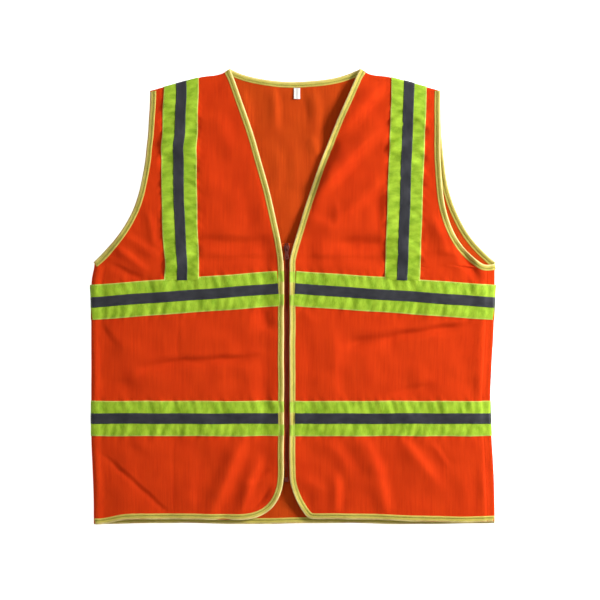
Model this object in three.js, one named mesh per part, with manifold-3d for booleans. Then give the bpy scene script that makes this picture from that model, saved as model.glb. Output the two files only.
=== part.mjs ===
// A sleeveless high visibility vest, laid flat on its back with the front uppermost and the zip closed.
// Millimetres. +X is the wearer's left, +Y runs from the hem to the neck, +Z is up from the surface it lies on.
// The origin is on that surface, under the middle of the vest. "Right" and "left" are the wearer's.
// Every cloth piece is a thin sheet. Each front is cut into a side part, sewn to the back, and a flap beside the
// zip that folds open, because a rigid body cannot bend: the cloth, its tapes and its binding run on across that
// line.
import * as THREE from "three";
import { mergeVertices } from "three/addons/utils/BufferGeometryUtils.js";
import Module from "manifold-3d";

const wasm = await Module();
wasm.setup();

// ---------- The body of the vest ----------
const bodyWidth = 576; // over the side folds and the binding that goes round them
const bodyLength = 648; // neck points to back hem
const bodyMiddle = 3; // the neck and shoulders are centred here, because the vest lies slightly turned
const neckWidth = 187; // between the neck points
const neckDrop = 19; // from the neck points down to the middle of the back neck
const shoulderSpan = 412; // between the shoulder ends
const shoulderDrop = 31; // from a neck point down to a shoulder end
const armholeDepth = 244; // from a shoulder end down to the underarm
const necklineDepth = 272; // from a neck point down to the foot of the V
const necklineBulge = 7.5; // how far each side of the V bows towards the middle
const frontHemStep = 6; // the front hem lies this far above the back hem
const sideSeamInset = 15; // on the left the side seam lies this far in from the fold
const underarmDip = 6; // and the front armhole ends this far below the fold's corner
// The lower corners of the fronts: how far across and up each starts, and where its curve is pulled to. The right one
// is round, and the left one runs slantwise down to the hem.
const corners = {
  right: { across: 66, up: 66, pull: 0, bend: 0 },
  left: { across: 27, up: 56, pull: 5, bend: 28 },
};
const zipFootRise = 53; // from the front hem up to the zip's foot
const bodyEase = 6; // how far the front stands clear of the back where it is not sewn down
const sideEase = 55; // the width over which it rises from a side fold
const shoulderEase = 40; // and from a shoulder seam

// ---------- Cloth, tapes and binding ----------
const clothThickness = 0.8;
const tapeThickness = 0.6;
const stripeThickness = 0.5;
const gap = 0.3; // kept between pieces that touch
const tapeWidth = 50; // the fluorescent tape
const stripeWidth = 15; // the reflective stripe down its middle
const chestTapeDrop = 57; // from the underarm to the middle of the chest tape, at the side
const chestTapeRise = 20; // the front chest tapes rise this much towards the zip
const tapeSpacing = 165; // from the chest tape down to the waist tape
const shoulderTapeX = 163; // the shoulder tapes lie this far from the middle of the shoulders
const shoulderTapeLean = { right: 0, left: 12 }; // the lower end leans this far towards the middle
const bindingWidth = 8.5; // as it shows on the face of the cloth
const bindingThickness = 0.7;
const seamWidth = 9; // the turned-in allowance along the side and shoulder seams

// ---------- Zip ----------
const zipX = -9; // the zip's line, beside the middle because of how the vest lies
const zipRise = 24; // the zip ends this far above the foot of the V
const zipTapeWidth = 11.6;
const zipTapeThickness = 0.6;
const coilWidth = 1.5; // one side's row of coils
const coilHeight = 2.2;
const coilSpacing = 1.4; // between the two rows
const stopLength = 2;
const boxLength = 6.5;
const sliderLength = 9.5;
const sliderWidth = 7;
const sliderPlate = 1; // thickness of its two plates
const sliderWall = 0.8; // thickness of its side walls
const sliderPost = 0.8; // width of the wedge between its plates
const bridgeLength = 6.4;
const bridgeWidth = 1.6;
const bridgeRise = 1.9; // room under the bridge
const bridgeThickness = 0.7;
const pullLength = 16;
const pullWidth = 6;
const pullThickness = 1.2;
const eyeLength = 4.2; // from the pull's cross bar to the far end of its eye
const eyeWidth = 2.6;
const clearance = 0.3; // between the slider and what it runs on or between
const zipGap = sliderWidth + 2 * clearance; // between the bound front edges

// ---------- Size label ----------
const labelWidth = 9;
const labelLength = 16;
const labelThickness = 0.5;
const labelX = 5.5;

// ---------- Where the layers lie ----------
const foldX = bodyWidth / 2 - gap - bindingThickness;
const neckY = bodyLength / 2 - gap - bindingThickness;
const backHemY = -neckY;
const frontHemY = backHemY + frontHemStep;
const shoulderY = neckY - shoulderDrop;
const underarmY = shoulderY - armholeDepth;
const veeFootY = neckY - necklineDepth;
const backZ = 2 * gap + tapeThickness + stripeThickness; // under side of the back cloth
const backTopZ = backZ + clothThickness;
const bindingReach = gap + bindingThickness; // how far the binding stands off the cloth it wraps
const frontZ = backTopZ + 2 * bindingReach + gap; // under side of the front cloth, where it meets the back
const openZ = frontZ + bodyEase; // and where it stands clear of it
const tapeLift = clothThickness + gap;
const stripeLift = tapeLift + tapeThickness + gap;
const foldZ = openZ + stripeLift + stripeThickness + gap; // the axis that each flap folds about
const zipTapeZ = openZ - bindingReach - gap - zipTapeThickness;
const zipZ = zipTapeZ + zipTapeThickness / 2; // middle of the coils
const bindingInset = bindingWidth - bindingReach; // how far it covers the cloth
const foldShift = 6.5; // a flap's fold line lies this far inside its neck point
const foldCut = 0.4; // half the slit between a flap and its side part

const fluorescentTape = new THREE.MeshStandardMaterial({ color: 0x9fd02c, roughness: 0.8 });
const reflective = new THREE.MeshStandardMaterial({ color: 0x3c3d42, roughness: 0.45, metalness: 0.3 });
const orangeCloth = new THREE.MeshStandardMaterial({ color: 0xe8430a, roughness: 0.9 });
const boundEdge = new THREE.MeshStandardMaterial({ color: 0xc3bb4e, roughness: 0.7 });
const zipTapeCloth = new THREE.MeshStandardMaterial({ color: 0xb02c0a, roughness: 0.9 });
const zipNylon = new THREE.MeshStandardMaterial({ color: 0x9c2408, roughness: 0.5 });
const zipMetal = new THREE.MeshStandardMaterial({ color: 0x6b2c24, roughness: 0.4, metalness: 0.4 });
const labelCloth = new THREE.MeshStandardMaterial({ color: 0xe8e6e0, roughness: 0.8 });

// ---------- Solids ----------
const point = (x, y) => new THREE.Vector2(x, y);

// A closed geometry as a solid that can be joined and cut.
function solidOf(geometry) {
  const bare = new THREE.BufferGeometry().setAttribute("position", geometry.getAttribute("position"));
  bare.setIndex(geometry.index);
  const merged = mergeVertices(bare, 1e-4);
  return new wasm.Manifold(
    new wasm.Mesh({
      numProp: 3,
      vertProperties: merged.attributes.position.array,
      triVerts: new Uint32Array(merged.index.array),
    }),
  );
}

function geometryOf(solid) {
  const { vertProperties, triVerts } = solid.getMesh();
  const geometry = new THREE.BufferGeometry();
  geometry.setAttribute("position", new THREE.BufferAttribute(new Float32Array(vertProperties), 3));
  geometry.setIndex(new THREE.BufferAttribute(new Uint32Array(triVerts), 1));
  geometry.computeVertexNormals();
  return geometry;
}

function join(solids) {
  return solids.reduce((whole, next) => whole.add(next));
}

// An upright prism on an outline.
function prism(outline, lowZ, highZ) {
  const shape = new THREE.Shape(outline);
  const geometry = new THREE.ExtrudeGeometry(shape, { depth: highZ - lowZ, bevelEnabled: false });
  return solidOf(geometry.translate(0, 0, lowZ));
}

function block(lowX, highX, lowY, highY, lowZ, highZ) {
  const geometry = new THREE.BoxGeometry(highX - lowX, highY - lowY, highZ - lowZ);
  return solidOf(geometry.translate((lowX + highX) / 2, (lowY + highY) / 2, (lowZ + highZ) / 2));
}

const tall = { low: -50, high: 100 }; // prisms that only cut reach from here to here
const cutter = (outline) => prism(outline, tall.low, tall.high);
const region = (lowX, highX, lowY, highY) => block(lowX, highX, lowY, highY, tall.low, tall.high);

// ---------- How the cloth lies ----------
// The line of the shoulder seams, carried on across the neck.
function shoulderLine(x) {
  const along = (Math.abs(x - bodyMiddle) - neckWidth / 2) / ((shoulderSpan - neckWidth) / 2);
  return neckY - shoulderDrop * along;
}

// How far the front stands above the level at which it is sewn to the back.
function frontLift(x, y) {
  const fromSide = THREE.MathUtils.smoothstep(foldX - Math.abs(x), 0, sideEase);
  const fromShoulder = THREE.MathUtils.smoothstep(shoulderLine(x) - y, 0, shoulderEase);
  return bodyEase * fromSide * fromShoulder;
}

// A slab that follows the front's lie. All slabs share one grid of facets, so sheets a gap apart stay a gap apart.
const facet = 32;
function liftedSlab(outline, lowZ, highZ) {
  const box = new THREE.Box2().setFromPoints(outline);
  const first = box.min.clone().divideScalar(facet).floor().subScalar(1);
  const last = box.max.clone().divideScalar(facet).ceil().addScalar(1);
  const columns = last.x - first.x + 1;
  const rows = last.y - first.y + 1;
  const positions = [];
  for (const z of [lowZ, highZ])
    for (let j = 0; j < rows; j++)
      for (let i = 0; i < columns; i++) {
        const x = (first.x + i) * facet;
        const y = (first.y + j) * facet;
        positions.push(x, y, z + frontLift(x, y));
      }
  const faces = [];
  const top = columns * rows;
  const quad = (a, b, c, d) => faces.push(a, b, c, a, c, d);
  for (let j = 0; j < rows - 1; j++)
    for (let i = 0; i < columns - 1; i++) {
      const a = j * columns + i;
      const [b, c, d] = [a + 1, a + columns + 1, a + columns];
      faces.push(a, c, b, a, d, c);
      quad(top + a, top + b, top + c, top + d);
    }
  for (let i = 0; i < columns - 1; i++) {
    const far = (rows - 1) * columns + i;
    quad(i, i + 1, top + i + 1, top + i);
    quad(far + 1, far, top + far, top + far + 1);
  }
  for (let j = 0; j < rows - 1; j++) {
    const near = j * columns;
    const far = near + columns - 1;
    quad(near + columns, near, top + near, top + near + columns);
    quad(far, far + columns, top + far + columns, top + far);
  }
  const geometry = new THREE.BufferGeometry();
  geometry.setAttribute("position", new THREE.BufferAttribute(new Float32Array(positions), 3));
  geometry.setIndex(faces);
  return solidOf(geometry);
}

// A sheet of the front: its under side lies at this height above the under side of the front cloth.
function frontSheet(outline, height, thickness) {
  return liftedSlab(outline, frontZ + height, frontZ + height + thickness).intersect(cutter(outline));
}

// A sheet of the back, which lies flat: its under side is at this height above that of the back cloth.
function backSheet(outline, height, thickness) {
  return prism(outline, backZ + height, backZ + height + thickness);
}

// ---------- Edges ----------
// The points of a path moved sideways, to the left of its direction when the distance is positive.
function offset(path, distance) {
  const direction = (a, b) => b.clone().sub(a).normalize();
  return path.map((p, i) => {
    const before = i > 0 ? direction(path[i - 1], p) : direction(p, path[i + 1]);
    const after = i < path.length - 1 ? direction(p, path[i + 1]) : before;
    const mitre = before.clone().add(after).normalize();
    const reach = distance / mitre.dot(before);
    return point(p.x - mitre.y * reach, p.y + mitre.x * reach);
  });
}

// The band between two offsets of a path.
function strip(path, one, other) {
  return [...offset(path, one), ...offset(path, other).reverse()];
}

// A path carried on straight at its ends.
function extended(path, atStart, atEnd) {
  const on = (from, to, length) => to.clone().add(to.clone().sub(from).setLength(length));
  const last = path.length - 1;
  const start = atStart ? [on(path[1], path[0], atStart)] : [];
  const end = atEnd ? [on(path[last - 1], path[last], atEnd)] : [];
  return [...start, ...path, ...end];
}

// Binding wraps a cloth edge: the cloth lies in its slot, on the right of the path.
function bindingAlong(path, sheet, slotPath = extended(path, 3, 3)) {
  const whole = sheet(strip(path, bindingReach, -bindingInset), -bindingReach, clothThickness + 2 * bindingReach);
  const slot = sheet(strip(slotPath, gap, -bindingInset - 5), -gap, clothThickness + 2 * gap);
  return whole.subtract(slot);
}

// What a binding covers, with a gap beside it: tapes are cut back by this.
const coveredBy = (path) => cutter(strip(extended(path, 5, 5), 5, -bindingInset - gap));

// ---------- The two sides ----------
function sideOf(name) {
  const sign = name === "right" ? -1 : 1;
  const neck = point(bodyMiddle + (sign * neckWidth) / 2, neckY);
  const shoulder = point(bodyMiddle + (sign * shoulderSpan) / 2, shoulderY);
  const underarm = point(sign * foldX, underarmY);
  const edgeX = zipX + (sign * zipGap) / 2 + sign * bindingReach;
  return { name, sign, neck, shoulder, underarm, edgeX, lineX: neck.x - sign * foldShift };
}

function curve(steps, ...points) {
  const Bezier = points.length === 3 ? THREE.QuadraticBezierCurve : THREE.CubicBezierCurve;
  return new Bezier(...points).getPoints(steps);
}

// From the shoulder end down to the underarm, where the back's cloth ends.
function backArmhole({ sign, shoulder, underarm }) {
  const high = point(shoulder.x + sign, shoulder.y - armholeDepth / 2);
  const low = point(shoulder.x + 0.14 * (underarm.x - shoulder.x), underarm.y + 0.22 * armholeDepth);
  return curve(14, shoulder, high, low, underarm);
}

// On the left the front armhole runs inside the back's, down to the side seam, and then along the back's cloth.
function frontArmhole(side) {
  if (side.name === "right") return backArmhole(side);
  const { shoulder, underarm } = side;
  const seam = point(underarm.x - sideSeamInset, underarm.y - underarmDip);
  const high = point(shoulder.x - 2, shoulder.y - 0.56 * armholeDepth);
  const low = point(shoulder.x - 5, seam.y + 0.18 * armholeDepth);
  return [...curve(14, shoulder, high, low, seam), underarm];
}

// From the neck point down the V, the front edge and the rounded corner, and along the front hem to the side fold.
function frontEdge({ name, sign, neck, edgeX }) {
  const { across, up, pull, bend } = corners[name];
  const foot = point(edgeX, veeFootY);
  const bow = point((neck.x + edgeX) / 2 - 2 * sign * necklineBulge, (neckY + veeFootY) / 2);
  const cornerTop = point(edgeX, frontHemY + up);
  const cornerBend = point(edgeX + sign * pull, frontHemY + bend);
  const cornerEnd = point(edgeX + sign * across, frontHemY);
  return [
    ...curve(8, neck, bow, foot),
    ...curve(8, cornerTop, cornerBend, cornerEnd),
    point(sign * foldX, frontHemY),
  ];
}

// The back neck, from the right neck point to the left.
function backNeck() {
  const [right, left] = [sideOf("right").neck, sideOf("left").neck];
  const depth = neckDrop * 1.33; // of the curve's handles, for the curve itself to drop by neckDrop
  const handle = neckWidth / 4;
  return curve(12, right, point(right.x + handle, neckY - depth), point(left.x - handle, neckY - depth), left);
}

// Paths run with the cloth on their right, so those of the right side are turned round.
const facing = (side, path) => (side.name === "right" ? [...path] : [...path].reverse());

// ---------- Bands of tape ----------
// A band of this width round a straight line between two points.
const band = (from, to, width) => strip([from, to], width / 2, -width / 2);

function frontBands(side) {
  const { name, sign, edgeX, shoulder } = side;
  const chestY = underarmY - chestTapeDrop;
  const beyond = 20; // bands are drawn past the cloth and cut to it
  const slope = chestTapeRise / (foldX - Math.abs(edgeX));
  const chestAt = (x) => chestY + slope * (foldX - Math.abs(x));
  const outX = sign * (foldX + beyond);
  const topX = bodyMiddle + sign * shoulderTapeX;
  const footX = topX - sign * shoulderTapeLean[name];
  const footY = chestAt(footX);
  return {
    chest: [point(outX, chestAt(outX)), point(edgeX, chestAt(edgeX))],
    waist: [point(outX, chestY - tapeSpacing), point(edgeX, chestY - tapeSpacing)],
    shoulder: [point(topX, shoulder.y + shoulderDrop), point(footX, footY)],
  };
}

function backBands() {
  const chestY = underarmY - chestTapeDrop;
  const across = (y) => [point(-foldX, y), point(foldX, y)];
  const down = (sign) => {
    const x = bodyMiddle + sign * shoulderTapeX;
    return [point(x, neckY), point(x, chestY)];
  };
  return { chest: across(chestY), waist: across(chestY - tapeSpacing), right: down(-1), left: down(1) };
}

// ---------- The group ----------
const vest = new THREE.Group();
const flaps = { right: new THREE.Group(), left: new THREE.Group() };
vest.add(flaps.right, flaps.left);

function piece(name, geometry, material, parent = vest) {
  const mesh = new THREE.Mesh(geometry, material);
  mesh.name = name;
  parent.add(mesh);
  return mesh;
}

// The parts of a front's solid on either side of its fold line.
function split(solid, { sign, lineX }) {
  const far = 2 * bodyWidth;
  const out = [lineX + sign * foldCut, lineX + sign * far];
  const inner = [lineX - sign * foldCut, lineX - sign * far];
  const half = ([a, b]) => region(Math.min(a, b), Math.max(a, b), -bodyLength, bodyLength);
  return { outer: solid.intersect(half(out)), flap: solid.intersect(half(inner)) };
}

function addSplit(name, solid, side, material) {
  const { outer, flap } = split(solid, side);
  piece(`${name}_${side.name}_side`, geometryOf(outer), material);
  piece(`${name}_${side.name}_flap`, geometryOf(flap), material, flaps[side.name]);
}

// A tape and the stripe along it, cut to the same cloth. The stripe lies on the tape's outer face.
function tapeAndStripe(line, sheet, cloth, tapeHeight, stripeHeight) {
  return {
    tape: sheet(band(...line, tapeWidth), tapeHeight, tapeThickness).intersect(cloth),
    stripe: sheet(band(...line, stripeWidth), stripeHeight, stripeThickness).intersect(cloth),
  };
}

function addBack() {
  const [right, left] = [sideOf("right"), sideOf("left")];
  const hem = [point(foldX, backHemY), point(-foldX, backHemY)];
  const outline = [...backNeck(), ...backArmhole(left), ...hem, ...backArmhole(right).reverse()];
  piece("back_panel", geometryOf(backSheet(outline, 0, clothThickness)), orangeCloth);
  piece("neck_binding", geometryOf(bindingAlong(backNeck(), backSheet)), boundEdge);
  piece("hem_binding_back", geometryOf(bindingAlong(hem, backSheet)), boundEdge);

  const armholes = [facing(right, backArmhole(right)).reverse(), backArmhole(left)];
  const free = armholes.reduce((cloth, path) => cloth.subtract(coveredBy(path)), cutter(outline));
  const bands = backBands();
  const [tapeHeight, stripeHeight] = [-gap - tapeThickness, -2 * gap - tapeThickness - stripeThickness];
  const hang = (line, cloth) => tapeAndStripe(line, backSheet, cloth, tapeHeight, stripeHeight);
  for (const name of ["chest", "waist"]) {
    const { tape, stripe } = hang(bands[name], free);
    piece(`${name}_tape_back`, geometryOf(tape), fluorescentTape);
    piece(`${name}_stripe_back`, geometryOf(stripe), reflective);
  }
  const aboveChest = free.subtract(cutter(band(...bands.chest, tapeWidth + 2 * gap)));
  for (const side of ["right", "left"]) {
    const { tape, stripe } = hang(bands[side], aboveChest);
    piece(`shoulder_tape_back_${side}`, geometryOf(tape), fluorescentTape);
    piece(`shoulder_stripe_back_${side}`, geometryOf(stripe), reflective);
  }
}

function addFront(side) {
  const { name } = side;
  const edge = frontEdge(side);
  const armhole = frontArmhole(side);
  const outline = [...armhole, ...[...edge].reverse()];
  if (name === "right") outline.reverse();
  addSplit("front_panel", frontSheet(outline, 0, clothThickness), side, orangeCloth);

  const edgePath = facing(side, edge);
  const armholePath = facing(side, armhole).reverse();
  const free = cutter(outline).subtract(coveredBy(edgePath)).subtract(coveredBy(armholePath));
  const bands = frontBands(side);
  const lay = (line, cloth) => tapeAndStripe(line, frontSheet, cloth, tapeLift, stripeLift);
  for (const height of ["chest", "waist"]) {
    const { tape, stripe } = lay(bands[height], free);
    addSplit(`${height}_tape`, tape, side, fluorescentTape);
    addSplit(`${height}_stripe`, stripe, side, reflective);
  }
  const aboveChest = free.subtract(cutter(band(...bands.chest, tapeWidth + 2 * gap)));
  const { tape, stripe } = lay(bands.shoulder, aboveChest);
  piece(`shoulder_tape_front_${name}`, geometryOf(tape), fluorescentTape);
  piece(`shoulder_stripe_front_${name}`, geometryOf(stripe), reflective);

  const { outer, flap } = split(bindingAlong(edgePath, frontSheet), side);
  const heightOf = (solid) => solid.boundingBox().max[1];
  const [hem, top] = outer.decompose().sort((a, b) => heightOf(a) - heightOf(b));
  piece(`neckline_binding_${name}`, geometryOf(top), boundEdge);
  piece(`hem_binding_${name}`, geometryOf(hem), boundEdge);
  piece(`front_binding_${name}`, geometryOf(flap), boundEdge, flaps[name]);
}

// The turned-in edges where a front is sewn to the back, between the two layers of cloth.
function addSeams(side) {
  const { name, sign, neck, shoulder, underarm } = side;
  const under = frontZ - backTopZ - gap;
  const seam = (outline) => frontSheet(outline, -under, under - gap);
  const inset = name === "left" ? sideSeamInset : 1;
  const [outX, inX] = [sign * (foldX - inset), sign * (foldX - inset - seamWidth)];
  const clear = bindingInset + gap;
  const [lowY, highY] = [frontHemY + clear, underarm.y - underarmDip - clear - 2];
  const down = [point(outX, lowY), point(outX, highY), point(inX, highY - 2), point(inX, lowY)];
  piece(`side_seam_${name}`, geometryOf(seam(down)), orangeCloth);
  const along = shoulder.clone().sub(neck).normalize();
  const from = neck.clone().addScaledVector(along, clear + 4);
  const to = shoulder.clone().addScaledVector(along, -clear - 2);
  const across = strip([from, to], sign, sign * (1 + seamWidth));
  const inward = strip([from, to], -sign, -sign * (1 + seamWidth));
  piece(`shoulder_seam_${name}`, geometryOf(seam(across[0].y < inward[0].y ? across : inward)), orangeCloth);
}

// One loop of binding round an armhole: along the front's edge, round the side fold, along the back's and over the
// shoulder.
function addArmholeBinding(side) {
  const { name, sign, underarm } = side;
  const past = (path, reach) => [...path, point(underarm.x + sign * reach, underarm.y)];
  const along = (armhole, sheet) => {
    const turned = (path) => facing(side, path).reverse();
    return bindingAlong(turned(past(armhole, bindingReach)), sheet, turned(past(extended(armhole, 3, 0), gap)));
  };
  const low = backZ - bindingReach;
  const high = frontZ + clothThickness + bindingReach;
  const [inX, outX] = [underarm.x + sign * gap, underarm.x + sign * bindingReach];
  const round = [underarm.y - bindingInset, underarm.y + bindingReach];
  const fold = block(Math.min(inX, outX), Math.max(inX, outX), ...round, low, high);
  const start = facing(side, backArmhole(side).slice(0, 2)).reverse();
  const over = prism(strip(start, bindingReach, gap), low, high).intersect(
    region(-bodyWidth, bodyWidth, shoulderY - 5, shoulderY + 5),
  );
  const loop = join([along(frontArmhole(side), frontSheet), along(backArmhole(side), backSheet), fold, over]);
  piece(`armhole_binding_${name}`, geometryOf(loop), boundEdge);
}

// ---------- Zip ----------
const zipFootY = frontHemY + zipFootRise;
const zipTopY = veeFootY + zipRise;
const boxTopY = zipFootY + boxLength;
const sliderTopY = zipTopY - stopLength - 2 * clearance; // the slider's top end when the zip is closed
const sliderTravel = sliderTopY - sliderLength - boxTopY - 2 * clearance;
const coilIn = coilSpacing / 2;
const coilOut = coilIn + coilWidth;
const parked = sliderWidth / 2 + clearance; // the right tape is cut back to here where the slider can stop

// A box given by its distances from the zip's line, on one side of it.
function beside(sign, near, far, lowY, highY, lowZ, highZ) {
  const [a, b] = [sign * near, sign * far];
  return block(Math.min(a, b), Math.max(a, b), lowY, highY, lowZ, highZ).translate([zipX, 0, 0]);
}

function addZipHalf({ name, sign }) {
  const parent = flaps[name];
  const tapeIn = coilOut + gap;
  const tapeTop = zipTapeZ + zipTapeThickness;
  const rests = name === "right"; // the slider stays with the left half, so the right half clears it where it rests
  const lowerRest = boxTopY + sliderLength + 4 * clearance;
  const upperRest = sliderTopY - sliderLength - 2 * clearance;
  let tape = beside(sign, tapeIn, tapeIn + zipTapeWidth, zipFootY, zipTopY, zipTapeZ, tapeTop);
  if (rests) {
    const cleared = (lowY, highY) => beside(sign, 0, parked, lowY, highY, zipTapeZ - 1, tapeTop + 1);
    tape = tape.subtract(cleared(zipFootY - 1, lowerRest)).subtract(cleared(upperRest, zipTopY + 1));
  }
  piece(`zip_tape_${name}`, geometryOf(tape), zipTapeCloth, parent);
  const coilY = rests ? [lowerRest, upperRest] : [boxTopY + gap, zipTopY - stopLength - gap];
  const coilZ = [zipZ - coilHeight / 2, zipZ + coilHeight / 2];
  piece(`zip_coil_${name}`, geometryOf(beside(sign, coilIn, coilOut, ...coilY, ...coilZ)), zipNylon, parent);
  const stop = beside(sign, coilIn, coilOut, zipTopY - stopLength, zipTopY, ...coilZ);
  piece(`zip_stop_${name}`, geometryOf(stop), zipMetal, parent);
}

// The pin at the foot of the right half, and beside it the box on the left half that stops the slider. The box has no
// floor under the pin, so that either flap can lift first.
function addPinAndBox() {
  const pinZ = [zipZ - coilHeight / 2 + 0.2, zipZ + coilHeight / 2];
  const pin = beside(-1, coilIn, sliderWidth / 2 - 0.2, zipFootY, boxTopY - gap, ...pinZ);
  piece("insertion_pin", geometryOf(pin), zipMetal, flaps.right);
  const boxZ = [pinZ[0] - clearance, zipZ + coilHeight / 2 + clearance];
  const body = beside(1, -coilIn + clearance, coilOut, zipFootY, boxTopY, ...boxZ);
  piece("retainer_box", geometryOf(body), zipMetal, flaps.left);
}

// The slider's own frame has its origin at the middle of its top end, on the zip's line and the coils' level.
const slider = new THREE.Group();
slider.position.set(zipX, sliderTopY, zipZ);
vest.add(slider);
const channelZ = coilHeight / 2 + clearance; // half the room between the plates
const faceZ = channelZ + sliderPlate; // the slider's upper face
const barY = -sliderLength / 2; // the pull's cross bar

function addSlider() {
  const half = sliderWidth / 2;
  const plate = (lowZ) => block(-half, half, -sliderLength, 0, lowZ, lowZ + sliderPlate);
  const slot = zipTapeThickness / 2 + clearance;
  const wallsAt = [-half, half - sliderWall];
  const walls = wallsAt.flatMap((x) =>
    [[-channelZ, -slot], [slot, channelZ]].map(([low, high]) =>
      block(x, x + sliderWall, -sliderLength, 0, low, high),
    ),
  );
  const post = block(-sliderPost / 2, sliderPost / 2, -2.2, -0.2, -channelZ, channelZ);
  const archY = [barY - bridgeLength / 2, barY + bridgeLength / 2];
  const arch = block(-bridgeWidth / 2, bridgeWidth / 2, ...archY, faceZ, faceZ + bridgeRise + bridgeThickness);
  const room = block(-bridgeWidth, bridgeWidth, archY[0] + 1, archY[1] - 1, faceZ, faceZ + bridgeRise);
  const body = join([plate(-faceZ), plate(channelZ), ...walls, post, arch.subtract(room)]);
  piece("slider_body", geometryOf(body), zipMetal, slider);
}

// The pull lies on the slider with its cross bar under the bridge, pointing at the hem. Its frame's origin is on
// the middle of that bar, which is round so that the pull can swing over.
function addPull() {
  const pull = new THREE.Group();
  pull.position.set(0, barY, faceZ + clearance + pullThickness / 2);
  slider.add(pull);
  const half = pullThickness / 2;
  const width = pullWidth / 2;
  const bar = new THREE.CylinderGeometry(half, half, pullWidth - 0.4, 12).rotateZ(Math.PI / 2);
  const tab = block(-width, width, -pullLength, 0, -half, half);
  const eye = block(-eyeWidth / 2, eyeWidth / 2, -eyeLength, 1, -half - 1, half + 1);
  const hole = solidOf(new THREE.CylinderGeometry(1.2, 1.2, 2 * pullThickness, 16).rotateX(Math.PI / 2));
  const grip = hole.translate([0, 3 - pullLength, 0]);
  const body = join([tab.subtract(eye), solidOf(bar)]).subtract(grip);
  piece("slider_pull", geometryOf(body), zipMetal, pull);
}

function addLabel() {
  const lowest = neckY - neckDrop - bindingInset - gap;
  const z = backTopZ + gap;
  const [low, high] = [lowest - labelLength, lowest];
  const plate = block(labelX - labelWidth / 2, labelX + labelWidth / 2, low, high, z, z + labelThickness);
  piece("size_label", geometryOf(plate), labelCloth);
}

addBack();
for (const name of ["right", "left"]) {
  const side = sideOf(name);
  addFront(side);
  addArmholeBinding(side);
  addSeams(side);
  addZipHalf(side);
}
addPinAndBox();
addSlider();
addPull();
addLabel();

// The joints' places, for whoever poses the vest: each flap's fold line, and the slider's travel.
vest.userData = {
  foldX: { right: sideOf("right").lineX, left: sideOf("left").lineX },
  foldZ,
  sliderTravel,
  pullPivot: [zipX, sliderTopY + barY, zipZ + faceZ + clearance + pullThickness / 2],
};

export default vest;
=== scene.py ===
import math
import bmesh
import bpy
import numpy as np
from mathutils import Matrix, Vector


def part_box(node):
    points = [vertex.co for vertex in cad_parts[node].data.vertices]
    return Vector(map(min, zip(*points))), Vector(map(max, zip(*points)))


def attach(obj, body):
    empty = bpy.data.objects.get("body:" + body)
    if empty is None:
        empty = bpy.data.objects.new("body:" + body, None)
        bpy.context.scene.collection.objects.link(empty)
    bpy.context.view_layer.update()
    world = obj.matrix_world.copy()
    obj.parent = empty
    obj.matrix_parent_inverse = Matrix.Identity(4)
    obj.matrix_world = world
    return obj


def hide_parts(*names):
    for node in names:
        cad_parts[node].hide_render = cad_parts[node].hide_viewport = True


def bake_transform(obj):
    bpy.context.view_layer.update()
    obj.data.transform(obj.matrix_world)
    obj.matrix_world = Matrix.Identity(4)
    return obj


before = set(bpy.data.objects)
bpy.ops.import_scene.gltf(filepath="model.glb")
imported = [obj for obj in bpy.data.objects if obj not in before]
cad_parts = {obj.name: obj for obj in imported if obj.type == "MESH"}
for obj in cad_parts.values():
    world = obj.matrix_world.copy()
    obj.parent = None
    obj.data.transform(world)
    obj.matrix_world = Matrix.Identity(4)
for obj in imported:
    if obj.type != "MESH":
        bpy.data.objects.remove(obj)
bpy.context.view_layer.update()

from types import SimpleNamespace

# The looks of a high visibility vest laid flat on its back. Sizes are in millimetres in the row frame, with +X
# to the wearer's left and +Y to the neck, and are turned into metres where a mesh is made.
MM = 0.001
SIDES = {"right": -1, "left": 1}


def box(node):
    """The lowest and highest corner of a CAD node, in mm."""
    low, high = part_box(node)
    return np.array(low) / MM, np.array(high) / MM


# ---------- Sizes taken from the frame ----------
back_low, back_high = box("back_panel")
FOLD_X = back_high[0]
NECK_Y = back_high[1]
HEM_Y = {"back": back_low[1], "front": box("front_panel_right_side")[0][1]}
BACK_Z = (back_low[2] + back_high[2]) / 2
OPEN_Z = (box("front_panel_right_flap")[0][2] + box("front_panel_right_flap")[1][2]) / 2
ZIP_X = (box("zip_coil_right")[0][0] + box("zip_coil_left")[1][0]) / 2
ZIP_Z = (box("zip_coil_left")[0][2] + box("zip_coil_left")[1][2]) / 2
EDGE_GAP = box("front_binding_left")[0][0] - ZIP_X  # from the zip's line to a bound edge
TAPE_WIDTH = box("waist_tape_back")[1][1] - box("waist_tape_back")[0][1]
STRIPE_WIDTH = box("waist_stripe_back")[1][1] - box("waist_stripe_back")[0][1]

# ---------- Sizes of the cut, as in the CAD ----------
MIDDLE_X = 3  # the neck and shoulders are centred here
NECK_WIDTH = 187
NECK_DROP = 19
SHOULDER_SPAN = 412
SHOULDER_DROP = 31
ARMHOLE_DEPTH = 244
NECKLINE_DEPTH = 272
NECKLINE_BULGE = 7.5
SEAM_INSET = 15  # on the left the side seam lies this far in from the fold
UNDERARM_DIP = 6
# The lower corner of each front: how far across and up it starts, and how far in its curve pulls.
CORNER = {"right": (66, 66, 0), "left": (27, 56, 5)}
SIDE_EASE = 55
SHOULDER_EASE = 40
BINDING_WIDTH = 8.5
BINDING_REACH = 1  # how far it stands outside the cloth's edge
CLOTH = 0.5
TAPE_THICK = 0.35
STRIPE_THICK = 0.25
TAPE_UNDER_BINDING = 1.4  # how far a cross tape runs in under a front's bound edge

SHOULDER_Y = NECK_Y - SHOULDER_DROP
UNDERARM_Y = SHOULDER_Y - ARMHOLE_DEPTH
VEE_Y = NECK_Y - NECKLINE_DEPTH
SEAM_Z = (back_high[2] + box("front_panel_right_side")[0][2]) / 2  # where front and back meet
SEAM_ROLL = 3  # radius of the rolled side and shoulder folds


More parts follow.
